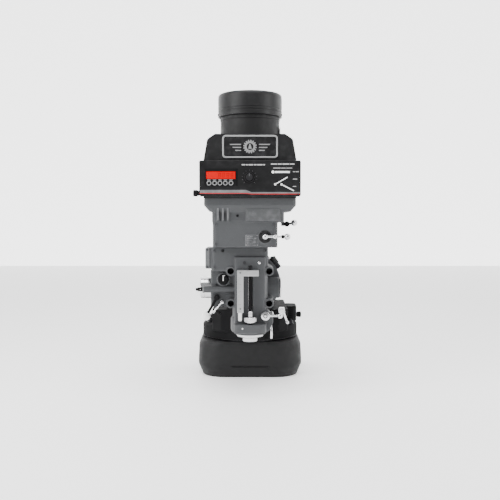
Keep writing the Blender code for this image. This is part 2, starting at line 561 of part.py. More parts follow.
def make_drive():
    motor = (0, MOTOR_Y, 0)
    spindle = (0, SPINDLE_Y, 0)
    low, high = BELT_Z - 0.016, BELT_Z + 0.016
    flange = MOTOR_PULLEY_RADIUS + 0.003
    turned("motor_pulley", "bright_steel",
           [(0.0143, low), (flange, low), (flange, low + 0.003), (MOTOR_PULLEY_RADIUS, low + 0.0045),
            (MOTOR_PULLEY_RADIUS, high - 0.0045), (flange, high - 0.003), (flange, high), (0.0143, high)],
           motor, segments=20)
    turned("drive_pulley", "light_grey", ring(0.0283, DRIVE_PULLEY_RADIUS, low, high), spindle)
    inner = 0.0012           # leaves room for the facets of the round stretches
    outer = inner + 0.0020
    belt = prism("drive_belt", "rubber",
                 belt_outline(DRIVE_PULLEY_RADIUS + outer, MOTOR_PULLEY_RADIUS + outer), "Z",
                 BELT_Z - 0.010, BELT_Z + 0.010)
    cut(belt, prism("belt_inside", None,
                    belt_outline(DRIVE_PULLEY_RADIUS + inner, MOTOR_PULLEY_RADIUS + inner), "Z",
                    BELT_Z - 0.02, BELT_Z + 0.02))
    gear = prism("bull_gear", "dark_steel", gear_outline(spindle[:2], 0.0440, 0.0040, 20), "Z", 0.5000,
                 0.5150, spindle)
    add(gear, turned("bull_gear_hub", None, disc(0.0280, 0.4890, 0.7300), spindle, segments=24))
    cut(gear, turned("bull_gear_bore", None, disc(0.0190, 0.45, 0.75), spindle, segments=24))
    back = turned("back_gear", "dark_steel", disc(0.0058, 0.4786, 0.5400), BACK_GEAR, segments=SMALL)
    add(back, prism("back_gear_teeth", None, gear_outline(BACK_GEAR[:2], 0.0252, 0.0040, 12), "Z", 0.4995,
                    0.5155))
    turned("sleeve_bearing", "bright_steel", ring(0.0287, 0.0467, 0.4878, 0.4990), spindle)


# Quill and spindle --------------------------------------------------------------------------
def make_quill():
    spindle = (0, SPINDLE_Y, 0)
    cap_high = 0.1985
    quill = turned("quill", "bright_steel", ring(0.0320, QUILL_RADIUS, cap_high + GAP, QUILL_HIGH), spindle,
                   segments=24)
    cut(quill, box("rack_slot", None, (-0.0083, -0.3658, 0.2100), (0.0083, -0.34, 0.4340)))
    low, teeth = 0.2104, 21
    outline = [(-0.3655, low + teeth * RACK_TOOTH), (-0.3655, low)]
    for tooth in range(teeth):
        for share, depth in ((0.05, 0.003), (0.25, 0.0), (0.55, 0.0), (0.75, 0.003)):
            outline.append((-0.3577 - depth, low + (tooth + share) * RACK_TOOTH))
    prism("quill_rack", "dark_steel", outline, "X", -0.0080, 0.0080)
    turned("quill_nose_cap", "bright_steel",
           [(0.0243, QUILL_LOW), (QUILL_RADIUS - 0.002, QUILL_LOW), (QUILL_RADIUS, QUILL_LOW + 0.002),
            (QUILL_RADIUS, cap_high), (0.0243, cap_high)], spindle, segments=24)
    left, right = STOP_SLOT
    block = box("quill_stop_block", "dark_steel", (left + 0.0010, -0.4725, 0.3885),
                (right - 0.0010, -0.4400, 0.4040))
    cut(block, turned("block_seat", None, disc(QUILL_RADIUS + GAP, 0.35, 0.45), spindle, segments=24))
    turned("spindle_bearing", "bright_steel", ring(0.0243, 0.0317, 0.2030, 0.2350), spindle)
    turned("spindle", "bright_steel",
           [(0.0158, SPINDLE_LOW), (NOSE_RADIUS - 0.0015, SPINDLE_LOW), (NOSE_RADIUS, SPINDLE_LOW + 0.0015),
            (NOSE_RADIUS, NOSE_HIGH), (0.0120, NOSE_HIGH)], spindle)
    turned("spindle_shaft", "bright_steel",
           [(0.0065, NOSE_HIGH + GAP), (NOSE_RADIUS, NOSE_HIGH + GAP), (NOSE_RADIUS, 0.425), (0.0180, 0.428),
            (0.0180, 0.700), (0.0065, 0.700)], spindle)
    bar = turned("drawbar", "dark_steel", disc(0.0055, 0.2700, 0.7120), spindle, segments=SMALL)
    add(bar, turned("drawbar_hex", None, disc(0.0110, 0.7005, 0.7160), spindle, segments=6))


def make_quill_feed():
    shaft = turned("pinion_shaft", "dark_steel", disc(0.0100, -0.1510, 0.1025), PINION, (1, 0, 0), SMALL)
    add(shaft, prism("quill_pinion", None, gear_outline(PINION[1:], PINION_RADIUS, 0.0040, 12), "X", -0.0200,
                     0.0200))
    turned("pinion_hub_disc", "bright_steel",
           [(0.0102, 0.0972), (0.0320, 0.0972), (0.0335, 0.0987), (0.0335, 0.1010), (0.0300, 0.1026),
            (0.0102, 0.1026)], PINION, (1, 0, 0))
    turned("spring_cup", "bright_steel",
           [(0, -0.1630), (0.0330, -0.1630), (0.0350, -0.1610), (0.0350, -0.1265), (0.0320, -0.1265),
            (0.0320, -0.1595), (0, -0.1595)], PINION, (1, 0, 0))
    turned("clock_spring", "dark_steel", ring(0.0120, 0.0300, -0.1580, -0.1300), PINION, (1, 0, 0), 20)


def make_depth_stop():
    front = PAD_FRONT - GAP
    scale = box("depth_scale", "light_grey", (-0.0395, -0.494, 0.2735), (-0.0198, front, 0.4056))
    add(scale,
        box("scale_arm", None, (-0.0300, -0.494, 0.3870), (0.0272, -0.4733, 0.4056)),
        box("scale_arm_foot", None, (0.0120, -0.490, 0.3870), (0.0272, front, 0.4056)),
        box("scale_tail", None, (-0.0370, -0.488, 0.2463), (-0.0247, front, 0.2800)))
    axis = (SCREW_X, SCREW_Y, 0)
    cut(scale, turned("screw_hole", None, disc(0.0053, 0.35, 0.45), axis, segments=SMALL))
    screw = turned("stop_screw", "dark_steel", disc(0.0050, 0.2255, 0.4150), axis, segments=SMALL)
    add(screw, turned("stop_screw_head", None, disc(0.0066, 0.4060, 0.4195), axis, segments=6))
    turned("stop_nut", "bright_steel",
           [(0.0053, 0.2430), (0.0175, 0.2430), (0.0189, 0.2445), (0.0189, 0.2590), (0.0175, 0.2605),
            (0.0053, 0.2605)], axis, segments=24)
    turned("stop_lock_nut", "bright_steel", ring(0.0053, 0.0073, 0.2608, 0.2780), axis, segments=SMALL)


# Levers and dials ---------------------------------------------------------------------------
def lever(name, finish, pivot, hub, start, end, radius, ball_radius, shaft_radius, shaft_depth):
    """A lever on a shaft along Y: hub profile, round arm from start to end, and a ball."""
    piece = turned(name, finish, hub, pivot, FACING, 18)
    direction = Vector(end) - Vector(start)
    length = direction.length
    add(piece, turned(f"{name}_shaft", None, disc(shaft_radius, -0.006, shaft_depth), pivot, FACING, SMALL),
        turned(f"{name}_arm", None, disc(radius, 0, length), start, direction.normalized(), 10))
    if ball_radius:
        add(piece, turned(f"{name}_ball", None, ball(ball_radius, length), start, direction.normalized(),
                          SMALL))
    return piece


def make_levers():
    x, y, z = QUILL_LOCK
    arm = y - 0.011
    lever("quill_lock_lever", "bright_steel", QUILL_LOCK,
          [(0, -0.0200), (0.0120, -0.0200), (0.0138, -0.0185), (0.0138, -GAP), (0, -GAP)],
          (x + 0.005, arm, z), (x + 0.0454, arm, z), 0.0033, 0.0088, 0.0050, 0.0240)

    x, y, z = RANGE_PIVOT
    arm = y - 0.0140
    handle = lever("range_lever", "bright_steel", RANGE_PIVOT,
                   [(0, -0.0190), (0.0065, -0.0190), (0.0080, -0.0180), (0.0080, -0.0034), (0, -0.0034)],
                   (x + 0.003, arm, z), (x + 0.068, arm, z), 0.0033, 0.0095, 0.0060, 0.0200)
    add(handle, turned("range_lever_hub", None, ball(0.0070, 0.0264), (x, arm, z), (1, 0, 0), SMALL),
        turned("range_lever_collar", None, disc(0.0055, 0.052, 0.060), (x, arm, z), (1, 0, 0), SMALL))

    x, y, z = BRAKE_PIVOT
    arm = y - 0.0080
    lever("brake_lever", "black_plastic", BRAKE_PIVOT,
          [(0, -0.0155), (0.0070, -0.0155), (0.0085, -0.0140), (0.0085, -GAP), (0, -GAP)],
          (x + 0.004, arm, z), (x + 0.0232, arm, z + 0.004), 0.0030, 0.0100, 0.0040, 0.0070)

    x, y, z = TRIP_PIVOT
    arm = y - 0.0085
    lever("feed_trip_lever", "black_plastic", TRIP_PIVOT,
          [(0, -0.0150), (0.0075, -0.0150), (0.0090, -0.0135), (0.0090, -GAP), (0, -GAP)],
          (x - 0.002, arm, z - 0.0035), (x - 0.0342, arm, z - 0.0594), 0.0045, 0.0135, 0.0040, 0.0180)

    x, y, z = ENGAGE_PIVOT
    arm = y - 0.0050
    handle = lever("feed_engage_lever", "bright_steel", ENGAGE_PIVOT,
                   [(0, -0.0085), (0.0070, -0.0085), (0.0078, -0.0075), (0.0078, -GAP), (0, -GAP)],
                   (x - 0.002, arm, z - 0.0024), (x - 0.0300, arm, z - 0.0350), 0.0042, 0.0, 0.0040, 0.0180)
    add(handle, turned("engage_knob", None, [(0, 0), (0.0035, 0.001), (0.0035, 0.010), (0.0062, 0.012),
                                             (0.0062, 0.018), (0.0045, 0.020), (0, 0.020)],
                       (x - 0.0215, arm, z - 0.0250), (0.75, -0.25, -0.61), SMALL))

    turned("feed_selector_dial", "black_plastic",
           [(0, -0.0150), (0.0150, -0.0150), (0.0170, -0.0130), (0.0170, -0.0036), (0.0060, -0.0034),
            (0.0060, 0.0200), (0, 0.0200)], FEED_DIAL, FACING, 20)
    turned("fine_feed_shaft", "black_plastic",
           [(0, -0.1720), (0.0045, -0.1720), (0.0045, -0.1660), (0.0065, -0.1660), (0.0065, -0.1503),
            (0.0058, -0.1500), (0.0058, -0.0700), (0, -0.0700)], FINE_FEED, (1, 0, 0), SMALL)


def make_tilt_parts():
    worm = turned("tilt_worm", "black_plastic", disc(0.0050, -0.0235, 0.0120), TILT_WORM, WORM_AXIS, SMALL)
    add(worm, turned("tilt_worm_hex", None, disc(0.0090, 0.0065, 0.0230), TILT_WORM, WORM_AXIS, 6))

    middle = 0.07875
    bolts = turned("head_tilt_bolts", "black_plastic",
                   ring(middle - 0.0090, middle + 0.0090, -0.2655, -0.2535), TILT, FACING, 28)
    for number, (x, z) in enumerate(BOLTS):
        add(bolts, turned(f"tilt_bolt_{number}", None,
                          [(0, -0.4040), (0.0090, -0.4040), (0.0090, -0.3963), (0.0060, -0.3963),
                           (0.0060, -0.2560), (0, -0.2560)], (x, 0, z), FACING, 10))


def make_head():
    make_quill_housing()
    make_gear_housing()
    make_belt_housing()
    make_panel()
    make_motor()
    make_drive()
    make_quill()
    make_quill_feed()
    make_depth_stop()
    make_levers()
    make_tilt_parts()


make_head()
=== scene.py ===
"""Looks of the turret milling machine head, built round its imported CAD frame."""

import json
import math
from types import SimpleNamespace

import bmesh
import bpy
from mathutils import Matrix, Vector


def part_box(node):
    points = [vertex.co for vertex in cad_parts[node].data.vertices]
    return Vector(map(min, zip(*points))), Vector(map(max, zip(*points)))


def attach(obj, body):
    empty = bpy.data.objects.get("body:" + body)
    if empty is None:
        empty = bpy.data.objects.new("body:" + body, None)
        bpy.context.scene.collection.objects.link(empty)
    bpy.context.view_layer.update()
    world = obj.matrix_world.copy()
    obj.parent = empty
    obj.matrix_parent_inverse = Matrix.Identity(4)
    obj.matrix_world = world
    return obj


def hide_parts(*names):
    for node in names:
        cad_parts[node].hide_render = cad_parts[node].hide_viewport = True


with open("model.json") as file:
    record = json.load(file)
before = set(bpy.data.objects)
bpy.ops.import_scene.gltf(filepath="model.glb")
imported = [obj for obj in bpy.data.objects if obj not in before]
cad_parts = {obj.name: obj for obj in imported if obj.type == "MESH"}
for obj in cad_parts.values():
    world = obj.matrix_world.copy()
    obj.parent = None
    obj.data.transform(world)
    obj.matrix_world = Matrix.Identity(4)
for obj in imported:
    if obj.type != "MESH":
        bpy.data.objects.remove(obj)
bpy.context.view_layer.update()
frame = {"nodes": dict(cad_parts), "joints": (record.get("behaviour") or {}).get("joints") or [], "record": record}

UP = Vector((0, 0, 1))
RIGHT = Vector((1, 0, 0))
BACK = Vector((0, 1, 0))
FRONT = -BACK
SHARP = math.radians(32)             # edges that turn more than this stay crisp
WORLD = 0.48                         # brightness of the surroundings
BACKDROP = 2.6                       # brightness of the wall behind the machine
FLOOR_GLOW = 0.45                    # lifts the floor towards the wall's brightness
CAMERA = (0.0, -2.672, 0.560)
CAMERA_PITCH = 2.42                  # degrees below level
CAMERA_LENS = 51.1
LIGHTS = (                           # name, place, target, size, power
    ("left_softbox", (-2.2, -1.8, 1.6), (0, -0.3, 0.5), (1.6, 2.2), 95.0),
    ("right_softbox", (2.3, -1.3, 1.2), (0, -0.3, 0.5), (1.0, 2.0), 42.0),
    ("top_softbox", (0.0, -0.9, 2.6), (0, -0.2, 0.5), (2.0, 1.4), 62.0))


def span(node):
    """Where a CAD node lies: its limits, middle and width."""
    low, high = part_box(node)
    middle = (low + high) / 2
    return SimpleNamespace(left=low.x, right=high.x, front=low.y, back=high.y, low=low.z, high=high.z,
                           x=middle.x, y=middle.y, z=middle.z, wide=high.x - low.x)


SLOT_OF = {part["node"]: part["material_slot"] for part in frame["record"]["subparts"]}
PIVOT = {joint["name"]: Vector(joint["pos_m"]) for joint in frame["joints"] if "pos_m" in joint}


# Materials ----------------------------------------------------------------------------------
class Nodes:
    """Small helper that adds nodes to one material."""

    def __init__(self, name):
        self.material = bpy.data.materials.new(name)
        self.material.use_nodes = True
        self.tree = self.material.node_tree
        self.shader = self.tree.nodes["Principled BSDF"]
        self.place = self.add("ShaderNodeTexCoord").outputs["Object"]

    def add(self, kind, **values):
        node = self.tree.nodes.new(kind)
        for key, value in values.items():
            if key in node.inputs:
                node.inputs[key].default_value = value
            else:
                setattr(node, key, value)
        return node

    def join(self, output, target):
        self.tree.links.new(output, target)

    def noise(self, scale, detail=3.0, stretch=None):
        node = self.add("ShaderNodeTexNoise", Scale=scale, Detail=detail)
        place = self.place
        if stretch:
            mapping = self.add("ShaderNodeMapping")
            mapping.inputs["Scale"].default_value = stretch
            self.join(place, mapping.inputs["Vector"])
            place = mapping.outputs["Vector"]
        self.join(place, node.inputs["Vector"])
        return node.outputs["Fac"]

    def ramp(self, source, stops):
        node = self.add("ShaderNodeValToRGB")
        ramp = node.color_ramp
        while len(ramp.elements) < len(stops):
            ramp.elements.new(0.5)
        for element, (at, colour) in zip(ramp.elements, stops):
            element.position = at
            element.color = (*colour, 1.0) if len(colour) == 3 else (colour[0],) * 3 + (1.0,)
        self.join(source, node.inputs["Fac"])
        return node.outputs["Color"]

    def mix(self, factor, first, second):
        node = self.add("ShaderNodeMix", data_type="RGBA")
        for value, socket in ((factor, node.inputs[0]), (first, node.inputs[6]), (second, node.inputs[7])):
            if isinstance(value, (float, int)):
                socket.default_value = value
            elif isinstance(value, tuple):
                socket.default_value = (*value, 1.0)
            else:
                self.join(value, socket)
        return node.outputs[2]

    def bump(self, heights):
        """Stack bumps, each (height output, strength, distance)."""
        normal = None
        for height, strength, distance in heights:
            node = self.add("ShaderNodeBump", Strength=strength, Distance=distance)
            self.join(height, node.inputs["Height"])
            if normal:
                self.join(normal, node.inputs["Normal"])
            normal = node.outputs["Normal"]
        self.join(normal, self.shader.inputs["Normal"])

    def colour(self, output):
        self.join(output, self.shader.inputs["Base Color"])

    def rough(self, source, low, high):
        self.join(self.ramp(source, [(0.3, (low,)), (0.7, (high,))]), self.shader.inputs["Roughness"])


def shade(colour, factor):
    return tuple(min(1.0, part * factor) for part in colour)


def enamel(name, colour, rough=(0.44, 0.58), cast=0.25, worn_and_highlit=(0.20, 0.20, 0.20), gloss=0.22):
    """Sprayed enamel on a casting: orange peel, faint cast texture, lighter edges that are partly paint wear and
    partly a painted highlight, dust.
    """
    nodes = Nodes(name)
    broad = nodes.noise(9.0, 4.0)
    speckle = nodes.noise(700.0, 2.0)
    base = nodes.mix(broad, shade(colour, 0.92), shade(colour, 1.08))
    flecks = nodes.ramp(speckle, [(0.60, (0.0,)), (0.74, (1.0,))])
    base = nodes.mix(flecks, base, shade(colour, 1.35))
    # sharp edges get a lighter colour in patches: partly paint wear, partly a painted edge highlight
    edge = nodes.ramp(nodes.add("ShaderNodeNewGeometry").outputs["Pointiness"],
                      [(0.515, (0.0,)), (0.60, (1.0,))])
    rubbed_and_highlit = nodes.mix(edge, (0.0, 0.0, 0.0), nodes.ramp(nodes.noise(60.0), [(0.45, (0.0,)), (0.70, (1.0,))]))
    nodes.colour(nodes.mix(rubbed_and_highlit, base, worn_and_highlit))
    nodes.rough(nodes.noise(45.0, 5.0), *rough)
    nodes.bump([(nodes.noise(220.0, 4.0), cast, 0.0006), (nodes.noise(1100.0, 2.0), 0.12, 0.0002)])
    nodes.shader.inputs["Specular IOR Level"].default_value = gloss
    return nodes.material


def steel(name, colour, rough=(0.16, 0.30), grain=(1.0, 1.0, 60.0)):
    """Turned or ground steel: fine tool marks, smudges and small nicks."""
    nodes = Nodes(name)
    marks = nodes.noise(60.0, 6.0, grain)
    smudge = nodes.noise(28.0, 3.0)
    base = nodes.mix(marks, shade(colour, 0.88), shade(colour, 1.08))
    nodes.colour(nodes.mix(nodes.ramp(smudge, [(0.52, (0.0,)), (0.80, (0.35,))]), base, shade(colour, 0.70)))
    nodes.rough(smudge, *rough)
    nodes.bump([(marks, 0.10, 0.0001), (nodes.noise(500.0, 1.0), 0.04, 0.0001)])
    nodes.shader.inputs["Metallic"].default_value = 1.0
    return nodes.material


def plastic(name, colour, rough=(0.30, 0.42), texture=0.15, glow=0.0, gloss=0.5):
    """Moulded plastic with a faint spark-eroded grain and handling marks."""
    nodes = Nodes(name)
    broad = nodes.noise(35.0, 3.0)
    nodes.colour(nodes.mix(broad, shade(colour, 0.90), shade(colour, 1.12)))
    nodes.rough(nodes.noise(90.0, 4.0), *rough)
    nodes.bump([(nodes.noise(1400.0, 2.0), texture, 0.0002)])
    nodes.shader.inputs["Specular IOR Level"].default_value = gloss
    if glow:
        nodes.shader.inputs["Emission Color"].default_value = (*colour, 1.0)
        nodes.shader.inputs["Emission Strength"].default_value = glow
    return nodes.material


def ribbed_rubber(name, colour):
    nodes = Nodes(name)
    nodes.colour(nodes.mix(nodes.noise(80.0), shade(colour, 0.7), shade(colour, 1.5)))
    nodes.rough(nodes.noise(120.0), 0.70, 0.90)
    nodes.bump([(nodes.noise(400.0), 0.30, 0.0003)])
    return nodes.material


MATERIALS = {
    # a lighter copy of the grey casting enamel: painted light for front faces that catch the lamps
    "grey_painted_lit": enamel("mid_grey_enamel", (0.066, 0.068, 0.071), worn_and_highlit=(0.130, 0.132, 0.136)),
    "black": enamel("satin_black_enamel", (0.0105, 0.0105, 0.011), (0.50, 0.66), worn_and_highlit=(0.030, 0.030, 0.031)),
    "flat": enamel("flat_black_enamel", (0.0095, 0.0095, 0.0100), (0.66, 0.76), worn_and_highlit=(0.028, 0.028, 0.029),
                   gloss=0.04),
    "cover": enamel("black_cover_enamel", (0.0090, 0.0090, 0.0095), (0.41, 0.46), 0.10,
                    (0.026, 0.026, 0.027)),
    "panel": enamel("panel_enamel", (0.0065, 0.0065, 0.0070), (0.32, 0.44), 0.06, (0.022, 0.022, 0.023)),
    "grey": enamel("grey_enamel", (0.055, 0.057, 0.060), worn_and_highlit=(0.105, 0.107, 0.111)),
    "grey_light": enamel("light_grey_enamel", (0.115, 0.118, 0.123), worn_and_highlit=(0.20, 0.20, 0.205)),
    "bright": steel("bright_steel", (0.66, 0.66, 0.67), (0.10, 0.22)),
    "turned": steel("turned_steel", (0.60, 0.60, 0.61), (0.16, 0.30), (60.0, 60.0, 1.0)),
    "satin": steel("satin_aluminium", (0.46, 0.465, 0.47), (0.34, 0.46), (50.0, 1.0, 1.0)),
    "blackened": steel("blackened_steel", (0.055, 0.055, 0.058), (0.30, 0.45)),
    "bolt": steel("black_oxide_bolt", (0.022, 0.022, 0.024), (0.35, 0.50)),
    "plastic": plastic("black_plastic", (0.0060, 0.0060, 0.0065), (0.50, 0.62), gloss=0.08),
    "cap": plastic("grey_cap_plastic", (0.24, 0.24, 0.245)),
    # the pale ball is given a faint painted glow so it looks brighter
    "ivory": plastic("pale_plastic_ball", (0.90, 0.90, 0.89), (0.20, 0.32), 0.05, 0.10),
    "white": plastic("white_print", (0.85, 0.85, 0.84), (0.45, 0.55), 0.05),
    "pale": plastic("pale_grey_print", (0.42, 0.42, 0.42), (0.45, 0.55), 0.05),
    "red": plastic("red_print", (0.55, 0.015, 0.02), (0.40, 0.50), 0.05),
    # the red window and the unlit segments both get a faint painted glow
    "display": plastic("red_display_window", (0.52, 0.0, 0.001), (0.40, 0.50), 0.02, 0.05, 0.04),
    "dim_red": plastic("dim_display_segment", (0.42, 0.0, 0.001), (0.40, 0.50), 0.02, 0.03, 0.04),
    "rubber": ribbed_rubber("belt_rubber", (0.020, 0.020, 0.020)),
}
CAD_FINISH = {"black_paint": "black", "grey_paint": "grey", "black_aluminium": "cover",
              "light_grey": "satin", "bright_steel": "turned", "dark_steel": "blackened",
              "black_plastic": "plastic", "rubber": "rubber", "red_window": "display",
              "button_grey": "cap"}


# Shape makers -------------------------------------------------------------------------------
def facing(direction):
    """Rotation that turns +Z to a direction."""
    return UP.rotation_difference(Vector(direction)).to_matrix().to_4x4()


def lathe(profile, centre=(0, 0, 0), axis=UP, segments=72):
    """A closed body turned from (radius, height) points; both ends may lie on the axis."""
    mesh = bmesh.new()
    place = Matrix.Translation(Vector(centre)) @ facing(axis)
    rings = []
    for radius, height in profile:
        count = segments if radius > 1e-7 else 1
        angles = [2 * math.pi * i / segments for i in range(count)]
        rings.append([mesh.verts.new(place @ Vector((radius * math.cos(a), radius * math.sin(a), height)))
                      for a in angles])
    open_ends = profile[0][0] < 1e-7 and profile[-1][0] < 1e-7
    followers = rings[1:] if open_ends else rings[1:] + rings[:1]
    for low, high in zip(rings, followers):
        for i in range(segments):
            j = (i + 1) % segments
            corners = (low[i % len(low)], low[j % len(low)], high[j % len(high)], high[i % len(high)])
            unique = list(dict.fromkeys(corners))
            if len(unique) > 2:
                mesh.faces.new(unique)
    return mesh


def loft(loops):
    mesh = bmesh.new()
    rings = [[mesh.verts.new(point) for point in loop] for loop in loops]
    count = len(rings[0])
    for low, high in zip(rings, rings[1:]):
        for i in range(count):
            j = (i + 1) % count
            mesh.faces.new((low[i], low[j], high[j], high[i]))
    mesh.faces.new(rings[0])
    mesh.faces.new(rings[-1])
    return mesh


def slab(outline, axis, low, high):
    """An outline pushed along X, Y or Z; its points are the other two coordinates."""
    make = {"X": lambda p, a: (a, *p), "Y": lambda p, a: (p[0], a, p[1]), "Z": lambda p, a: (*p, a)}[axis]
    return loft([[make(point, along) for point in outline] for along in (low, high)])


def block(low, high):
    return slab([(low[0], low[1]), (high[0], low[1]), (high[0], high[1]), (low[0], high[1])], "Z",
                low[2], high[2])


def arc(centre, radius, start, end, steps):
    angles = [math.radians(start + (end - start) * i / steps) for i in range(steps + 1)]
    return [(centre[0] + radius * math.cos(a), centre[1] + radius * math.sin(a)) for a in angles]


def rounded(left, right, low, high, radius, steps=6):
    corners = [((right - radius, low + radius), -90), ((right - radius, high - radius), 0),
               ((left + radius, high - radius), 90), ((left + radius, low + radius), 180)]
    return [p for centre, start in corners for p in arc(centre, radius, start, start + 90, steps)]


def round_slab(left, right, low, high, radius, axis, near, far):
    return slab(rounded(left, right, low, high, radius), axis, near, far)


def disc(radius, low, high, edge=0.0):
    """Profile of a cylinder, with small chamfers if an edge is given."""
    if not edge:
        return [(0, low), (radius, low), (radius, high), (0, high)]
    return [(0, low), (radius - edge, low), (radius, low + edge), (radius, high - edge),
            (radius - edge, high), (0, high)]


def ring(inner, outer, low, high):
    return [(inner, low), (outer, low), (outer, high), (inner, high)]


def ball(radius, centre, axis=UP):
    points = arc((0, 0), radius, -90, 90, 18)
    profile = [(0, points[0][1]), *[p for p in points if p[0] > 1e-6], (0, points[-1][1])]
    return lathe(profile, centre, axis, 36)


def rod(start, end, radius):
    start, end = Vector(start), Vector(end)
    return lathe(disc(radius, 0, (end - start).length), start, end - start, 36)


def hexagon(across, centre, axis, low, high):
    """A hexagonal prism with chamfered ends."""
    radius = across / math.sqrt(3)
    edge = 0.06 * across
    return lathe(disc(radius, low, high, edge), centre, axis, 6)


def around(plane, centre, reach, degrees):
    """Points round a centre in the XY, XZ or YZ plane, one for each angle."""
    first, second = ("XYZ".index(letter) for letter in plane)
    points = []
    for angle in degrees:
        point = list(centre)
        point[first] += reach * math.cos(math.radians(angle))
        point[second] += reach * math.sin(math.radians(angle))
        points.append(tuple(point))
    return points


def turns(count, start=0.0):
    """Angles of parts spread evenly round a circle."""
    return [start + 360 * number / count for number in range(count)]


def merged(shapes):
    mesh = bmesh.new()
    for shape in shapes:
        data = bpy.data.meshes.new("part")
        shape.to_mesh(data)
        shape.free()
        mesh.from_mesh(data)
        bpy.data.meshes.remove(data)
    return mesh


def new_object(name, shapes):
    mesh = merged(shapes if isinstance(shapes, (list, tuple)) else [shapes])
    bmesh.ops.recalc_face_normals(mesh, faces=mesh.faces)
    data = bpy.data.meshes.new(name)
    mesh.to_mesh(data)
    mesh.free()
    made = bpy.data.objects.new(name, data)
    bpy.context.scene.collection.objects.link(made)
    return made


def smooth(made, angle=SHARP):
    made.data.shade_smooth()
    made.data.set_sharp_from_angle(angle=angle)


def bake(made):
    """Replace a mesh with what its modifiers make of it."""
    graph = bpy.context.evaluated_depsgraph_get()
    data = bpy.data.meshes.new_from_object(made.evaluated_get(graph))
    made.modifiers.clear()
    made.data = data


def join_body(made, body, finish):
    made.data.materials.clear()
    made.data.materials.append(MATERIALS[finish])
    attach(made, body)
    return made


def cut(made, shapes, crossing=False):
    """Cut shapes out of a mesh; crossing says that they run into each other."""
    tool = new_object(made.name + "_tool", shapes)
    modifier = made.modifiers.new("cut", "BOOLEAN")
    modifier.operation, modifier.solver, modifier.object = "DIFFERENCE", "EXACT", tool
    modifier.use_self = crossing
    bake(made)
    bpy.data.objects.remove(tool)


def bevel_edges(made, width, angle=30, segments=2, harden=False):
    modifier = made.modifiers.new("edges", "BEVEL")
    modifier.width, modifier.segments, modifier.limit_method = width, segments, "ANGLE"
    modifier.angle_limit = math.radians(angle)
    modifier.harden_normals = harden


def run_together(made, voxel, passes, keep):
    """Melt the solids of a mesh into one skin with small fillets, thinned to a share of its faces."""
    remesh = made.modifiers.new("fillets", "REMESH")
    remesh.mode, remesh.voxel_size = "VOXEL", voxel
    soften = made.modifiers.new("soften", "SMOOTH")
    soften.factor, soften.iterations = 0.5, passes
    made.modifiers.new("thin", "DECIMATE").ratio = keep
    bake(made)


def piece(name, shapes, body, finish, replaced=(), bevel=0.0, slot=None):
    """A fine piece, bevelled, riding on a body, that may stand for CAD nodes."""
    made = new_object(name, shapes)
    smooth(made)
    if bevel:
        bevel_edges(made, bevel, 28, harden=True)
    slot = slot or (SLOT_OF[replaced[0]] if replaced else None)
    join_body(made, body, finish)
    if replaced:
        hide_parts(*replaced)
    return made


def casting(name, solids, holes, voxel, body, finish, replaced, keep=0.30):
    """A casting: its solids run together with small fillets, then the holes are bored crisply."""
    made = new_object(name, solids)
    run_together(made, voxel, 5, keep)
    cut(made, holes, crossing=True)
    smooth(made, math.radians(38))
    join_body(made, body, finish)
    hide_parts(replaced)


# Places taken from the frame ----------------------------------------------------------------
SPINDLE = span("spindle")
SY = SPINDLE.y                       # spindle axis
TILT = PIVOT["head_tilt"]
NOD = PIVOT["head_nod"]
HOUSE = span("quill_housing")
GEARS = span("gear_housing")
BELTS = span("belt_housing")
PANEL = span("control_panel")
QUILL = span("quill")
NOSE = span("quill_nose_cap")
PINION = PIVOT["pinion_turn"]
LOCK = PIVOT["quill_lock_turn"]
RANGE = PIVOT["range_select"]
BRAKE = PIVOT["brake_turn"]
TRIP = PIVOT["feed_trip_turn"]
ENGAGE = PIVOT["feed_engage_turn"]
DIAL = PIVOT["feed_selector_turn"]
FINE = PIVOT["fine_feed_turn"]
WORM = PIVOT["tilt_worm_turn"]
WORM_AXIS = Vector((0.58, 0, -0.8146)).normalized()
RAM_CLAMP = PIVOT["ram_clamp_turn"]
RAM_LOCK = PIVOT["ram_lock_turn"]
RAM_SHAFT = PIVOT["ram_handle_turn"]
BOLT_X, BOLT_Z = 0.0603, 0.0507      # tilt bolts, from the tilt axis
BOLTS = [(TILT.x + x, TILT.z + z) for x in (-BOLT_X, BOLT_X) for z in (-BOLT_Z, BOLT_Z)]
BOSS_FRONT = -0.459                  # front of the bosses round those bolts
BLOCK_FRONT = -0.457                 # front of the upper block of the quill housing
BOSSES = ((0.0290, -0.4660, 0.4270), (-0.0170, -0.4660, 0.4270))   # oiler and screw below that block
GEAR_RIBS = (-0.098, -0.083, -0.068)     # across the front of the gear housing
SCREW = span("stop_screw")


# Column, turret and ram ---------------------------------------------------------------------
def make_column():
    low = span("column_top")
    edges = [(0.0, 0.1715, 0.1645), (0.001, 0.1724, 0.1652), (0.036, 0.1862, 0.1712), (0.041, 0.1874, 0.1718),
             (0.046, 0.1879, 0.1720), (0.060, 0.1875, 0.1720), (0.112, 0.1850, 0.1710),
             (0.120, 0.1822, 0.1692), (low.high, 0.1770, 0.1660)]
    body = loft([[(x, y, z) for x, y in rounded(-half, half, -deep, deep, 0.085, 14)]
                 for z, half, deep in edges])
    groove = block((-0.066, low.front - 0.01, 0.0370), (0.066, low.front + 0.0055, 0.0415))
    made = new_object("column_casting", body)
    cut(made, groove)
    smooth(made)
    join_body(made, "column", "black")
    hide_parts("column_top")
    piece("column_scale_band", lathe(ring(0.1600, 0.1612, low.high - 0.0060, low.high - 0.0002)),
          "column", "blackened", bevel=0.0002)


def dovetail(shrink):
    low = 0.210 + shrink
    return [(-0.055 + shrink, low), (0.055 - shrink, low), (0.039 - shrink, 0.2440),
            (-0.039 + shrink, 0.2440)]


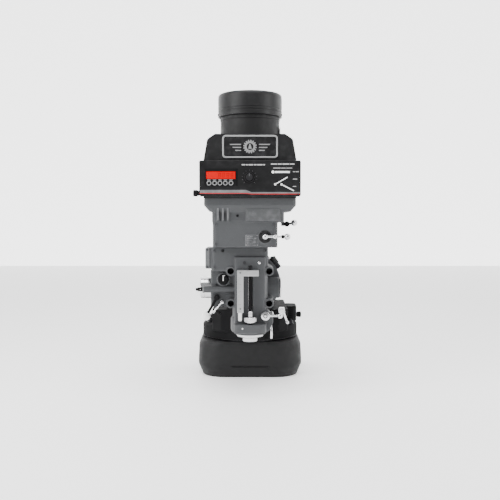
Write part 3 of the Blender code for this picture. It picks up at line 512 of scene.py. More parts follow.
def make_turret():
    base, rack = span("turret_base"), span("ram_rack")
    top, bottom = 0.182, base.low
    ways = [(-0.103, -0.165), (0.103, -0.165), (0.135, -0.130), (0.135, 0.165), (-0.135, 0.165),
            (-0.135, -0.130)]
    radius = 0.176
    solids = [lathe([(0, bottom), (radius - 0.004, bottom), (radius, bottom + 0.004), (radius, top - 0.008),
                     (radius - 0.008, top), (0, top)], segments=96),
              slab(ways, "Z", top - 0.020, base.high)]
    for side in (-1, 1):
        solids.append(slab([(side * 0.090, top - 0.004), (side * 0.150, top - 0.004),
                            (side * 0.090, top + 0.018)], "Y", -0.060, 0.100))
    holes = [slab(dovetail(0.0), "Y", -0.25, 0.25),
             block((rack.left - 0.0005, -0.25, rack.low - 0.0006),
                   (rack.right + 0.0005, 0.25, rack.high + 0.0015)),
             lathe(disc(0.0063, -0.030, 0.020), RAM_CLAMP, BACK, 24),
             lathe(disc(0.0053, -0.020, 0.020), RAM_LOCK, BACK, 24),
             lathe(disc(0.0330, rack.left - RAM_SHAFT.x - 0.0005, 0.130), RAM_SHAFT, RIGHT, 40)]
    casting("turret_casting", solids, holes, 0.0024, "turret", "flat", "turret_base")
    for x, y in ((-0.145, -0.050), (-0.145, 0.080), (0.148, -0.088), (0.120, 0.140)):
        piece(f"turret_nut_{x:.3f}_{y:.3f}".replace("-", "m").replace(".", "_"),
              [lathe(disc(0.0130, -0.0005, 0.0020, 0.0005), (x, y, top), UP, 36),
               hexagon(0.0190, (x, y, top), UP, 0.0018, 0.0120),
               lathe(disc(0.0055, 0.010, 0.0165, 0.0008), (x, y, top), UP, 24)], "turret", "bolt")
    case = span("ram_pinion_housing")
    outline = [(case.left, -0.050), (0.158, -0.050), (0.168, -0.044), (0.173, -0.032), (0.173, 0.040),
               (0.168, 0.048), (0.160, 0.050), (case.left, 0.050)]
    solids = [slab(outline, "Z", case.low, case.high)]
    holes = [lathe(disc(0.0083, 0.05, 0.13), RAM_SHAFT, RIGHT, 24)]
    for step in range(6):
        z = case.low + 0.010 + step * 0.0080
        holes.append(slab([(0.140 + step * 0.001, z), (0.166, z - 0.004), (0.166, z - 0.0020),
                           (0.140, z + 0.002)], "Y", -0.0530, -0.0482))
    casting("ram_pinion_case", solids, holes, 0.0012, "turret", "flat", "ram_pinion_housing", 0.5)
    piece("turret_angle_scale",
          lathe(ring(radius - 0.0002, radius + 0.0004, bottom + 0.006, bottom + 0.0066)), "turret",
          "blackened")


def make_ram_handle():
    knob = span("ram_handle_knob")
    start = RAM_SHAFT.x
    middle = (knob.right - 0.006, RAM_SHAFT.y, RAM_SHAFT.z)
    flutes = [lathe(disc(0.0011, -0.0050, 0.0042, 0.0004), place, RIGHT, 12)
              for place in around("YZ", middle, 0.0098, turns(12))]
    profile = [(0, knob.left - start), (0.0088, knob.left - start), (0.0104, 0.1092), (0.0104, 0.1130),
               (0.0090, 0.1136), (0.0090, 0.1210), (0.0080, knob.right - start - 0.0006),
               (0.0070, knob.right - start), (0, knob.right - start)]
    piece("ram_knob", [lathe(profile, RAM_SHAFT, RIGHT, 48), *flutes], "ram_handle", "plastic",
          ["ram_handle_knob"])


def make_ram_clamp():
    x, y, z = RAM_CLAMP
    start = Vector((x + 0.004, y - 0.0165, z))
    direction = Vector((0.017, 0, -0.043)).normalized()
    hub = lathe([(0, -0.025), (0.009, -0.025), (0.011, -0.023), (0.011, -0.0012), (0.0102, -0.0005),
                 (0.006, -0.0003), (0.006, 0.018), (0, 0.018)], RAM_CLAMP, BACK, 48)
    head = round_slab(x - 0.012, x + 0.010, z + 0.001, z + 0.014, 0.004, "Y", y - 0.0245, y - 0.008)
    arm = lathe([(0, -0.002), (0.0052, -0.002), (0.0044, 0.010), (0.0036, 0.030), (0.0038, 0.0365),
                 (0.0050, 0.0385), (0.0060, 0.0415), (0.0058, 0.0445), (0.0040, 0.0474), (0, 0.0482)], start,
                direction, 32)
    piece("ram_clamp_handle", [hub, head, arm], "ram_clamp", "bright", ["ram_clamp_lever"], 0.0007)
    x, y, z = RAM_LOCK
    hub = lathe([(0, -0.020), (0.0068, -0.020), (0.008, -0.0186), (0.008, -0.0010), (0.0074, -0.0003),
                 (0.005, -0.0003), (0.005, 0.018), (0, 0.018)], RAM_LOCK, BACK, 40)
    arm = lathe([(0, -0.004), (0.0022, -0.004), (0.0024, 0.044), (0.0030, 0.050), (0.0043, 0.0540),
                 (0.0046, 0.070), (0.0047, 0.087), (0.0040, 0.0905), (0.0026, 0.0918), (0, 0.0920)],
                (x, y - 0.013, z), -UP, 32)
    piece("ram_lock_handle", [hub, arm], "ram_lock", "bright", ["ram_lock_lever"], 0.0003)


def make_ram():
    ram, rack = span("ram"), span("ram_rack")
    front, back, half, low, top = -0.124, ram.back, 0.085, 0.2423, ram.high
    outline = [(-half, low), (half, low), (half, top - 0.030),
               *arc((half - 0.030, top - 0.030), 0.030, 15, 90, 8),
               *arc((-half + 0.030, top - 0.030), 0.030, 90, 165, 8), (-half, top - 0.030)]
    solids = [slab(outline, "Y", front, back), slab(dovetail(0.0004), "Y", front, back)]
    for side in (-1, 1):
        inner, outer = sorted((side * 0.0405, side * 0.0800))
        solids.append(slab([(front + 0.020, TILT.z - 0.055), (front + 0.020, TILT.z + 0.055),
                            *arc((NOD.y, NOD.z), 0.055, 90, 270, 24)], "X", inner, outer))
        solids.append(slab([(side * 0.080, 0.290), (side * 0.0875, 0.296), (side * 0.0875, 0.372),
                            (side * 0.080, 0.378)], "Y", front + 0.030, back - 0.030))
    holes = [block((-0.045, front + 0.030, 0.268), (0.045, back + 0.01, 0.395)),
             lathe(disc(0.0203, -0.1, 0.1), NOD, RIGHT, 48),
             block((rack.left - 0.0003, front - 0.01, 0.20),
                   (rack.right + 0.0003, back + 0.01, rack.high + 0.0003))]
    casting("ram_casting", solids, holes, 0.0026, "ram", "black", "ram")
    cover = span("ram_rear_cover")
    seat = cover.back - 0.0020
    screws = [(side * 0.066, seat, z) for side in (-1, 1) for z in (0.262, 0.396)]
    plate = round_slab(cover.left, cover.right, cover.low, cover.high, 0.008, "Y", cover.front, cover.back)
    casting("ram_cover", [plate], [lathe(disc(0.0054, 0, 0.01), place, BACK, 40) for place in screws], 0.0010,
            "ram", "cover", "ram_rear_cover")
    cap_screws("ram_cover_screws", screws, BACK, 0.0042, 0.0016, "ram", "bolt")
    pin = span("nod_pivot_pin")
    piece("nod_pin", lathe(disc(0.0200, pin.left - NOD.x, pin.right - NOD.x, 0.0012), NOD, RIGHT, 64), "ram",
          "turned", ["nod_pivot_pin"])
    for side in (-1, 1):
        piece(f"nod_washer_{side + 2}",
              lathe(ring(0.0202, 0.0270, 0.0800, 0.0826), NOD, RIGHT * side, 64), "ram", "blackened",
              bevel=0.0005)


def cap_screws(name, places, axis, radius, height, body, finish, socket=0.5):
    """Socket-head screws, each with a round socket sunk in its chamfered head."""
    shapes = []
    for place in places:
        inner = radius * socket
        shapes.append(lathe([(0, -0.002), (radius, -0.002), (radius, height * 0.75), (radius * 0.90, height),
                             (inner * 1.1, height), (inner, height * 0.92), (inner * 0.98, -0.0002),
                             (0, -0.0004)], place, axis, 36))
    return piece(name, shapes, body, finish)


def make_adapter():
    front, back = TILT.y + 0.0003, -0.240
    slot_in, slot_out, deep = 0.0690, 0.0885, 0.017
    solids = [lathe(disc(0.100, front - TILT.y, back - TILT.y, 0.0015), TILT, BACK, 96),
              slab([(back - 0.006, TILT.z - 0.058), *arc((NOD.y, NOD.z), 0.050, -90, 90, 24),
                    (back - 0.006, TILT.z + 0.058)], "X", -0.0400, 0.0400)]
    holes = [lathe(ring(slot_in, slot_out, -0.01, deep), TILT, BACK, 96),
             lathe(disc(0.0203, -0.1, 0.1), NOD, RIGHT, 48)]
    casting("adapter_casting", solids, holes, 0.0020, "adapter", "black", "ram_adapter")


# Head castings ------------------------------------------------------------------------------
def make_quill_casting():
    top, low = HOUSE.high, HOUSE.low
    axis = (SPINDLE.x, SY, 0)
    barrel = [(0, low), (0.046, low), (0.050, low + 0.0015), (0.058, 0.203), (0.0612, 0.208), (0.062, 0.212),
              (0.062, 0.244), (0.0605, 0.249), (0.056, 0.252), (0.056, top - 0.010), (0, top - 0.010)]
    clamp = [(0, 0.1985), (0.040, 0.1985), (0.062, 0.213), (0.073, 0.238), (0.073, 0.262), (0, 0.262)]
    solids = [
        lathe(barrel, axis, segments=96),
        slab(clamp, "Y", -0.452, -0.352),
        round_slab(-0.050, 0.050, -0.505, -0.400, 0.020, "Z", 0.2120, 0.2375),
        round_slab(-0.048, 0.048, -0.466, -0.380, 0.006, "Z", 0.236, top - 0.030),
        block((-0.0555, -0.402, 0.2460), (0.0555, -0.290, top - 0.020)),
        lathe(disc(0.102, -0.032, 0.0), TILT, BACK, 96),
        round_slab(-0.120, 0.057, BLOCK_FRONT, -0.296, 0.010, "Z", 0.4000, top),
        round_slab(-0.125, -0.040, DIAL.y, -0.305, 0.006, "Z", 0.2850, 0.4020),
        round_slab(-0.141, -0.100, -0.445, -0.320, 0.006, "Z", 0.4070, 0.4720),
        lathe(disc(0.0346, 0.040, 0.0965), PINION, RIGHT, 64),
        lathe(disc(0.0105, -0.050, 0.055), FINE, RIGHT, 40),
        lathe(disc(0.0170, 0.0, 0.050), LOCK, BACK, 40),
        lathe(disc(0.0100, 0.0, 0.0285), BOSSES[0], BACK, 32),
        lathe(disc(0.0088, 0.0, 0.0285), BOSSES[1], BACK, 32)]
    for x, z in BOLTS:
        solids.append(lathe(disc(0.0148, BOSS_FRONT, -0.290), (x, 0, z), BACK, 48))
    stop = span("quill_stop_block")
    casting_holes = [
        lathe([(0, 0.15), (QUILL.wide / 2 + 0.0004, 0.15), (QUILL.wide / 2 + 0.0004, QUILL.high + 0.003),
               (0.021, QUILL.high + 0.003), (0.021, 0.50), (0, 0.50)], axis, segments=96),
        block((stop.left - 0.0010, -0.55, 0.2600), (stop.right + 0.0010, -0.42, 0.4060)),
        lathe(disc(0.0108, -0.152, 0.11), PINION, RIGHT, 36),
        lathe(disc(0.0213, -0.0222, 0.0222), PINION, RIGHT, 36),
        lathe(disc(0.0053, -0.01, 0.026), LOCK, BACK, 24),
        lathe(disc(0.0063, -0.01, 0.026), DIAL, BACK, 24),
        lathe(disc(0.0043, -0.01, 0.023), TRIP, BACK, 24),
        lathe(disc(0.0043, -0.01, 0.023), ENGAGE, BACK, 24),
        lathe(disc(0.0063, -0.06, 0.0305), FINE, RIGHT, 24),
        lathe(disc(0.0053, 0.2250, 0.30), (SCREW.x, SCREW.y, 0), UP, 24),
        lathe(disc(0.0123, -0.030, 0.035), WORM, WORM_AXIS, 28)]
    for x, z in BOLTS:
        casting_holes.append(lathe([(0, BOSS_FRONT - 0.01), (0.0100, BOSS_FRONT - 0.01), (0.0100, -0.396),
                                    (0.0063, -0.396), (0.0063, -0.25), (0, -0.25)], (x, 0, z), BACK, 40))
    casting("quill_casting", solids, casting_holes, 0.0017, "head", "grey", "quill_housing", 0.45)


def make_gear_casting():
    low, top = GEARS.low, GEARS.high
    levels = ((0.585, 0.124, -0.497, -0.200), (0.594, 0.132, -0.5015, -0.170),
              (0.6047, 0.141, -0.506, -0.140), (top, 0.141, -0.506, -0.140))
    flange = loft([[(x, y, z) for x, y in rounded(-half, half, front, back, 0.012)]
                   for z, half, front, back in levels])
    solids = [flange,
              round_slab(-0.115, 0.085, -0.495, -0.290, 0.012, "Z", low, 0.560),
              round_slab(-0.117, 0.105, -0.4945, -0.285, 0.012, "Z", 0.5530, 0.590),
              block((-0.012, -0.502, 0.5560), (0.092, -0.480, 0.596)),
              block((0.100, -0.3917, 0.5410), (0.1245, -0.380, 0.5535)),
              lathe(disc(0.0200, -0.0025, 0.02), RANGE, BACK, 48)]
    for x in GEAR_RIBS:
        solids.append(round_slab(x - 0.003, x + 0.003, -0.5020, -0.4850, 0.0015, "Z", 0.5570, 0.5985))
    axis = (SPINDLE.x, SY, 0)
    back_gear = span("back_gear")
    holes = [lathe([(0, 0.40), (0.021, 0.40), (0.021, 0.4875), (0.047, 0.4875), (0.047, 0.70), (0, 0.70)],
                   axis, segments=96),
             lathe([(0, 0.4783), (0.0063, 0.4783), (0.0063, 0.4870), (0.0270, 0.4870), (0.0270, 0.70),
                    (0, 0.70)], (back_gear.x, back_gear.y, 0), segments=72),
             lathe(disc(0.0063, -0.02, 0.022), RANGE, BACK, 28),
             lathe(disc(0.0043, -0.01, 0.009), BRAKE, BACK, 24)]
    casting("gear_casting", solids, holes, 0.0018, "head", "grey", "gear_housing", 0.45)


def make_head_details():
    # the fronts of the ribs are faced in light grey: a painted highlight
    for number, x in enumerate(GEAR_RIBS):
        piece(f"rib_face_{number + 1}",
              round_slab(x - 0.0026, x + 0.0026, 0.5590, 0.5965, 0.0012, "Y", -0.5026, -0.5018), "head",
              "grey_light", bevel=0.0002)
    # the raised front pad is painted in the lighter grey: a painted highlight on a face turned to the lamps
    piece("raised_front", round_slab(-0.0105, 0.0905, 0.5575, 0.5945, 0.003, "Y", -0.5030, -0.5018), "head",
          "grey_painted_lit", bevel=0.0005)
    # light grey strip on the left edge of the side cover: a painted highlight on its rounded edge
    piece("side_cover_edge", round_slab(-0.1400, -0.1275, 0.4085, 0.4705, 0.003, "Y", -0.4458, -0.4446),
          "head", "grey_light", bevel=0.0005)
    cap_screws("gearbox_screw", [(-0.0384, GEARS.front + 0.0110, 0.573)], FRONT, 0.0042, 0.0030, "head",
               "bolt")
    screws = [(x, GEARS.front + 0.0110, z) for x, z in ((-0.105, 0.545), (-0.105, 0.486), (0.074, 0.545))]
    cap_screws("gearbox_corner_screws", screws, FRONT, 0.0038, 0.0030, "head", "grey")
    cap_screws("upper_block_screw", [(-0.0850, BLOCK_FRONT, 0.464)], FRONT, 0.0042, 0.0034, "head", "bolt")
    screws = [(x, BLOCK_FRONT, z) for x in (-0.112, 0.049) for z in (0.412, 0.464)]
    cap_screws("upper_block_corner_screws", screws, FRONT, 0.0040, 0.0032, "head", "grey")
    screws = [(-0.134, -0.4460, z) for z in (0.413, 0.466)] + [(-0.106, -0.4460, 0.466)]
    cap_screws("side_cover_screws", screws, FRONT, 0.0024, 0.0014, "head", "bolt")
    piece("boss_screw_left", lathe(disc(0.0050, 0, 0.0020, 0.0004), BOSSES[1], FRONT, 32), "head",
          "blackened")
    piece("boss_oiler", [lathe([(0, 0), (0.0045, 0), (0.0045, 0.0020), (0.0030, 0.0028), (0.0012, 0.0030),
                                (0, 0.0024)], BOSSES[0], FRONT, 32)], "head", "bright")
    # the boss fronts round the tilt bolts are painted in the lighter grey: a painted highlight
    rim = ring(0.0101, 0.0146, -BOSS_FRONT - 0.0004, -BOSS_FRONT + 0.0010)
    for number, (x, z) in enumerate(BOLTS, 1):
        piece(f"tilt_bolt_rim_{number}", lathe(rim, (x, 0, z), FRONT, 64), "head", "grey_painted_lit", bevel=0.0004)


def make_data_plate():
    """Small engraved plate with rows of unreadable strokes."""
    front = -0.4955
    left, right, low, high = -0.0150, 0.0255, 0.4800, 0.5150
    piece("data_plate", round_slab(left, right, low, high, 0.002, "Y", front - 0.0008, front + 0.001), "head",
          "grey_light", bevel=0.0002)
    piece("data_plate_field",
          round_slab(left + 0.0015, right - 0.0015, low + 0.0015, high - 0.0015, 0.0015, "Y", front - 0.0011,
                     front - 0.0006), "head", "grey")
    strokes = []
    for row in range(6):
        z = high - 0.0060 - row * 0.0058
        x = left + 0.005
        for part in range(3 + row % 3):
            width = 0.006 + 0.0045 * ((row * 3 + part * 5) % 4)
            if x + width > right - 0.004:
                break
            strokes.append(block((x, front - 0.0014, z), (x + width, front - 0.0010, z + 0.0016)))
            x += width + 0.0035
    piece("data_plate_lines", strokes, "head", "grey_light")
    cap_screws("data_plate_rivets", [(x, front - 0.0010, z) for x in (left + 0.003, right - 0.003)
                                     for z in (low + 0.003, high - 0.003)], FRONT, 0.0013, 0.0008, "head",
               "bright", 0.2)


# Belt housing and motor ---------------------------------------------------------------------
def make_belt_cover():
    low, top = BELTS.low, BELTS.high
    half = [(BELTS.right, low), (BELTS.right, 0.7406), (0.1303, 0.8027), (0.1250, 0.8085), (0.1066, top)]
    outline = half + [(-x, z) for x, z in reversed(half)]
    made = new_object("belt_cover", slab(outline, "Y", BELTS.front, BELTS.back))
    bay = [(0.0540, 0.60), (0.1353, 0.60), (0.1353, 0.740), (0.1247, 0.7985), (0.1040, 0.8145),
           (0.0540, 0.8145)]
    motor = span("motor_frame")
    channel = slab(belt_path(SPINDLE.x, SY, motor.y, 0.0483, 0.0320), "Z", 0.60, 0.745)
    holes = [slab([(side * x, z) for x, z in bay], "Y", BELTS.front + 0.006, BELTS.back - 0.006)
             for side in (-1, 1)]
    holes += [channel, lathe(disc(0.0175, 0.70, 0.85), (motor.x, motor.y, 0), UP, 40)]
    for side in (-1, 1):
        holes.append(block((side * 0.1415 - 0.0008, BELTS.front + 0.030, 0.7395),
                           (side * 0.1415 + 0.0008, BELTS.back - 0.030, 0.7407)))
    cut(made, holes, crossing=True)
    smooth(made)
    bevel_edges(made, 0.0016, 40, 3, harden=True)
    join_body(made, "head", "cover")
    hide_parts("belt_housing")
    screws = [(side * (BELTS.right + 0.0002), y, z) for side in (-1, 1) for y in (BELTS.front + 0.020, -0.300,
              BELTS.back - 0.020) for z in (low + 0.012, 0.728)]
    for side, tag in ((-1, "left"), (1, "right")):
        places = [place for place in screws if place[0] * side > 0]
        cap_screws(f"cover_screws_{tag}", places, RIGHT * side, 0.0035, 0.0022, "head", "bolt")
    slots = []
    for number in range(7):
        z = 0.690 + number * 0.0075
        slots.append(round_slab(-0.055, 0.055, z, z + 0.0035, 0.0016, "Y", BELTS.back - 0.0004,
                                BELTS.back + 0.0010))
    piece("rear_louvres", slots, "head", "cover", bevel=0.0004)
    seam = [block((-0.1405, BELTS.front + 0.0002, low - 0.0006), (0.1405, BELTS.back - 0.0002, low + 0.0004))]
    piece("cover_gasket", seam, "head", "rubber")


def belt_path(x, front, back, first_radius, second_radius, steps=40):
    """Outline round a front and a back circle joined by their outer tangents."""
    tilt = math.degrees(math.asin((first_radius - second_radius) / (back - front)))
    return (arc((x, front), first_radius, 180 - tilt, 360 + tilt, steps)
            + arc((x, back), second_radius, tilt, 180 - tilt, steps))


def make_nameplate():
    """Pale frame round a dark field with a plain gear emblem."""
    plate = span("nameplate")
    front = plate.front
    made = new_object("nameplate_frame",
                      round_slab(plate.left, plate.right, plate.low, plate.high, 0.010, "Y", front,
                                 plate.back))
    cut(made, round_slab(plate.left + 0.0045, plate.right - 0.0045, plate.low + 0.0045,
                         plate.high - 0.0045, 0.006, "Y", front - 0.01, front + 0.0018))
    smooth(made)
    bevel_edges(made, 0.0006)
    join_body(made, "head", "satin")
    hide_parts("nameplate")
    piece("nameplate_field",
          round_slab(plate.left + 0.0047, plate.right - 0.0047, plate.low + 0.0047, plate.high - 0.0047,
                     0.0058, "Y", front + 0.0012, front + 0.0024), "head", "panel")
    depth = (front + 0.0006, front + 0.0014)
    x, z = plate.x, plate.z
    teeth = []
    for number in range(16):
        for share, reach in ((0.0, 0.0160), (0.25, 0.0160), (0.40, 0.0205), (0.85, 0.0205)):
            angle = 2 * math.pi * (number + share) / 16
            teeth.append((x + reach * math.cos(angle), z + reach * math.sin(angle)))
    wheel = new_object("emblem_wheel", slab(teeth, "Y", *depth))
    cut(wheel, lathe(disc(0.0105, -0.01, 0.01), (x, front, z), BACK, 48))
    smooth(wheel)
    join_body(wheel, "head", "satin")
    cutter = [slab([(x - 0.0055, z - 0.0065), (x + 0.0055, z - 0.0065), (x + 0.0015, z + 0.0075),
                    (x - 0.0015, z + 0.0075)], "Y", *depth)]
    wings = []
    for side in (-1, 1):
        for row, (near, far) in enumerate(((0.027, 0.062), (0.027, 0.054), (0.027, 0.046))):
            z_low = z + 0.0080 - row * 0.0090
            wings.append(slab([(x + side * near, z_low), (x + side * far, z_low),
                               (x + side * (far - 0.003), z_low - 0.0032), (x + side * near, z_low - 0.0032)],
                              "Y", *depth))
    piece("emblem_marks", cutter + wings, "head", "satin", bevel=0.0002)


def make_motor():
    frame_span, cap = span("motor_frame"), span("motor_cap")
    x, y = frame_span.x, frame_span.y
    low, radius, shoulder = frame_span.low, frame_span.wide / 2, cap.low - 0.0005
    profile = [(0.0145, low), (radius - 0.001, low), (radius, low + 0.001), (radius, low + 0.0090),
               (radius - 0.0015, low + 0.0105), (radius - 0.0015, shoulder - 0.012),
               (radius, shoulder - 0.0105), (radius, shoulder - 0.001), (radius - 0.001, shoulder),
               (0.0985, shoulder), (0.0985, 0.926), (0.047, 0.926), (0.047, low + 0.012),
               (0.0145, low + 0.012)]
    piece("motor_body", lathe(profile, (x, y, 0), segments=128), "head", "black", ["motor_frame"])
    outer, top = cap.wide / 2, cap.high
    bands = [(0.0990, cap.low), (outer - 0.0012, cap.low), (outer, cap.low + 0.0015), (outer, 0.9180),
             (outer - 0.0008, 0.9188), (outer - 0.0008, 0.9217), (outer, 0.9225), (outer, 0.9270),
             (outer - 0.0008, 0.9278), (outer - 0.0008, 0.9302), (outer, 0.9310), (outer, top - 0.0150),
             (outer - 0.0006, top - 0.0085), (outer - 0.0028, top - 0.0038), (outer - 0.0065, top - 0.0014),
             (outer - 0.0110, top - 0.0008), (0.0620, top - 0.0008), (0.0610, top), (0.0560, top),
             (0.0550, top - 0.0010), (0, top - 0.0010), (0, top - 0.0060), (0.0920, top - 0.0060),
             (0.0990, top - 0.0130)]
    made = piece("motor_fan_cap", lathe(bands, (x, y, 0), segments=128), "head", "cover", ["motor_cap"])
    vents = []
    for number in range(28):
        angle = 2 * math.pi * number / 28
        shape = round_slab(0.0700, 0.0900, -0.0022, 0.0022, 0.0021, "Z", top - 0.009, top + 0.002)
        bmesh.ops.transform(shape, matrix=Matrix.Translation((x, y, 0)) @ Matrix.Rotation(angle, 4, "Z"),
                            verts=shape.verts)
        vents.append(shape)
    cut(made, vents)
    smooth(made)
    screws = around("XY", (x, y, cap.low + 0.0080), outer + 0.0001, (-170, -10, 60, 120))
    for number, place in enumerate(screws):
        outward = Vector((place[0] - x, place[1] - y, 0)).normalized()
        cap_screws(f"cap_screw_{number + 1}", [place], outward, 0.0032, 0.0018, "head", "bolt")
    box_back = [round_slab(-0.040, 0.040, low + 0.012, low + 0.060, 0.004, "Y", y + radius - 0.008,
                           y + radius + 0.022)]
    piece("terminal_box", box_back, "head", "cover", bevel=0.0015)
    piece("terminal_box_lid",
          round_slab(-0.041, 0.041, low + 0.011, low + 0.061, 0.004, "Y", y + radius + 0.022,
                     y + radius + 0.0255), "head", "cover", bevel=0.0008)
    cap_screws("terminal_box_screws",
               [(sx, y + radius + 0.0255, sz) for sx in (-0.035, 0.035) for sz in (low + 0.017, low + 0.055)],
               BACK, 0.0026, 0.0012, "head", "bright")
    piece("cable_gland", [hexagon(0.020, (0, y + radius + 0.010, low + 0.0125), -UP, -0.001, 0.0055),
                          lathe([(0, 0.005), (0.0080, 0.005), (0.0080, 0.010), (0.0062, 0.0115), (0, 0.0115)],
                                (0, y + radius + 0.010, low + 0.0125), -UP, 32)], "head", "plastic")
    plate = round_slab(-0.030, 0.030, low + 0.024, low + 0.050, 0.002, "Y", -0.0005, 0.0005)
    turn = Matrix.Translation((x, y, 0)) @ Matrix.Rotation(math.radians(90), 4, "Z")
    bmesh.ops.transform(plate, matrix=turn @ Matrix.Translation((0, -radius - 0.0002, 0)), verts=plate.verts)
    piece("motor_rating_plate", plate, "head", "satin", bevel=0.0002)
    piece("lifting_eye_boss", lathe(disc(0.0120, top - 0.0012, top - 0.0002, 0.0004), (x, y, 0), UP, 48),
          "head", "cover")


# Control panel ------------------------------------------------------------------------------
def make_panel():
    front, back, wall = PANEL.front, PANEL.back, 0.003
    left, right, low, high = PANEL.left, PANEL.right, PANEL.low, PANEL.high
    outline = [(left, low + 0.004), (left + 0.004, low), (right - 0.004, low), (right, low + 0.004),
               (right, high - 0.003), (right - 0.003, high), (left + 0.003, high), (left, high - 0.003)]
    made = new_object("panel_case", slab(outline, "Y", front, back))
    window = span("display_window")
    buttons = [span(f"panel_button_{n}") for n in range(1, 6)]
    knob, switch = PIVOT["speed_knob_turn"], PIVOT["power_switch_turn"]
    holes = [block((left + wall, front + wall, low + wall), (right - wall, back + 0.01, high - wall)),
             block((window.left - 0.0003, front - 0.01, window.low - 0.0003),
                   (window.right + 0.0003, front + 0.01, window.high + 0.0003)),
             lathe(disc(0.0038, -0.01, 0.01), knob, BACK, 24),
             lathe(disc(0.0038, -0.01, 0.01), switch, RIGHT, 24)]
    holes += [lathe(disc(0.0073, -0.01, 0.01), (button.x, front, button.z), BACK, 36) for button in buttons]
    cut(made, holes, crossing=True)
    smooth(made)
    bevel_edges(made, 0.0007)
    join_body(made, "head", "panel")
    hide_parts("control_panel")

    bezel = [(window.left - 0.0035, window.low - 0.0200), (window.right + 0.0065, window.low - 0.0200),
             (window.right + 0.0065, window.high + 0.0080), (window.left - 0.0035, window.high + 0.0080)]
    module = new_object("display_module", slab(bezel, "Y", front - 0.0016, front - 0.0001))
    cuts = [block((window.left, front - 0.01, window.low), (window.right, front + 0.01, window.high))]
    cuts += [lathe(disc(0.0078, -0.01, 0.01), (button.x, front, button.z), BACK, 36) for button in buttons]
    cut(module, cuts)
    smooth(module)
    join_body(module, "head", "plastic")
    piece("display_lens", round_slab(window.left + 0.0002, window.right - 0.0002, window.low + 0.0002,
                                     window.high - 0.0002, 0.0012, "Y", window.front - 0.0008, window.back),
          "head", "display", ["display_window"], 0.0004)
    make_digits(window)

    for number, button in enumerate(buttons, 1):
        face = button.front
        rim = lathe([(0.0046, 0.0006), (0.0050, 0.0), (0.0062, 0.0), (0.0070, 0.0008), (0.0070, 0.0127),
                     (0.0046, 0.0127)], (button.x, face, button.z), BACK, 48)
        piece(f"button_ring_{number}", rim, f"button_{number}", "cap", [f"panel_button_{number}"])
        cap = lathe([(0, 0.0004), (0.0030, 0.0005), (0.0040, 0.0010), (0.0045, 0.0018), (0.0045, 0.0100),
                     (0, 0.0100)], (button.x, face, button.z), BACK, 40)
        piece(f"button_cap_{number}", cap, f"button_{number}", "plastic")
        piece(f"button_mark_{number}",
              round_slab(button.x - 0.0050, button.x + 0.0050, button.z + 0.0088, button.z + 0.0100, 0.0004,
                         "Y", front - 0.0020, front - 0.0015), "head", "pale")
    make_knobs(knob, switch)
    make_panel_print(front, left, right, low, high, knob)


def make_digits(window):
    """Seven-segment figures, unlit but with a faint painted glow, under the red lens."""
    front = window.front - 0.0011
    height, width, line = 0.0130, 0.0072, 0.0014
    shapes = []
    for place in range(4):
        x = window.right - 0.0140 - (3 - place) * 0.0125
        z = window.z - height / 2
        bars = [(x, z, width, line), (x, z + height / 2 - line / 2, width, line),
                (x, z + height - line, width, line), (x, z, line, height),
                (x + width - line, z, line, height)]
        for left, low, across, tall in bars:
            shapes.append(block((left, front, low), (left + across, front + 0.0003, low + tall)))
    piece("display_segments", shapes, "head", "dim_red")


def make_knobs(knob, switch):
    speed = span("speed_knob")
    reach = knob.y - speed.front - 0.0004
    profile = [(0, reach), (0.0120, reach), (0.0132, reach - 0.0004), (0.0142, reach - 0.0016),
               (0.0152, 0.0042), (0.0168, 0.0034), (0.0184, 0.0026), (0.0185, 0.0003), (0.0033, 0.0003),
               (0.0033, -0.0120), (0, -0.0120)]
    flutes = [lathe(disc(0.0011, -0.0060, 0.0070, 0.0004), place, FRONT, 10)
              for place in around("XZ", (knob.x, knob.y - 0.011, knob.z), 0.0146, turns(24))]
    piece("speed_dial_knob", [lathe(profile, knob, FRONT, 72), *flutes], "speed_control", "plastic",
          ["speed_knob"])
    piece("speed_knob_cap", lathe(disc(0.0100, reach - 0.0010, reach + 0.0002), knob, FRONT, 48),
          "speed_control", "blackened")
    piece("speed_knob_line", block((knob.x - 0.0007, speed.front, knob.z + 0.0030),
                                   (knob.x + 0.0007, speed.front + 0.0010, knob.z + 0.0115)),
          "speed_control", "grey_light")
    tip = span("switch_knob")
    reach = switch.x - tip.left
    profile = [(0, reach), (0.0072, reach), (0.0085, reach - 0.0006), (0.0098, reach - 0.0020),
               (0.0098, 0.0060), (0.0085, 0.0052), (0.0075, 0.0050), (0.0075, 0.0003), (0.0033, 0.0003),
               (0.0033, -0.0120), (0, -0.0120)]
    piece("power_switch_knob", lathe(profile, switch, -RIGHT, 56), "power_switch", "plastic", ["switch_knob"])
    piece("power_switch_line",
          block((tip.left - 0.0002, switch.y - 0.0006, switch.z),
                (tip.left + 0.0003, switch.y + 0.0006, switch.z + 0.0075)), "power_switch", "white")


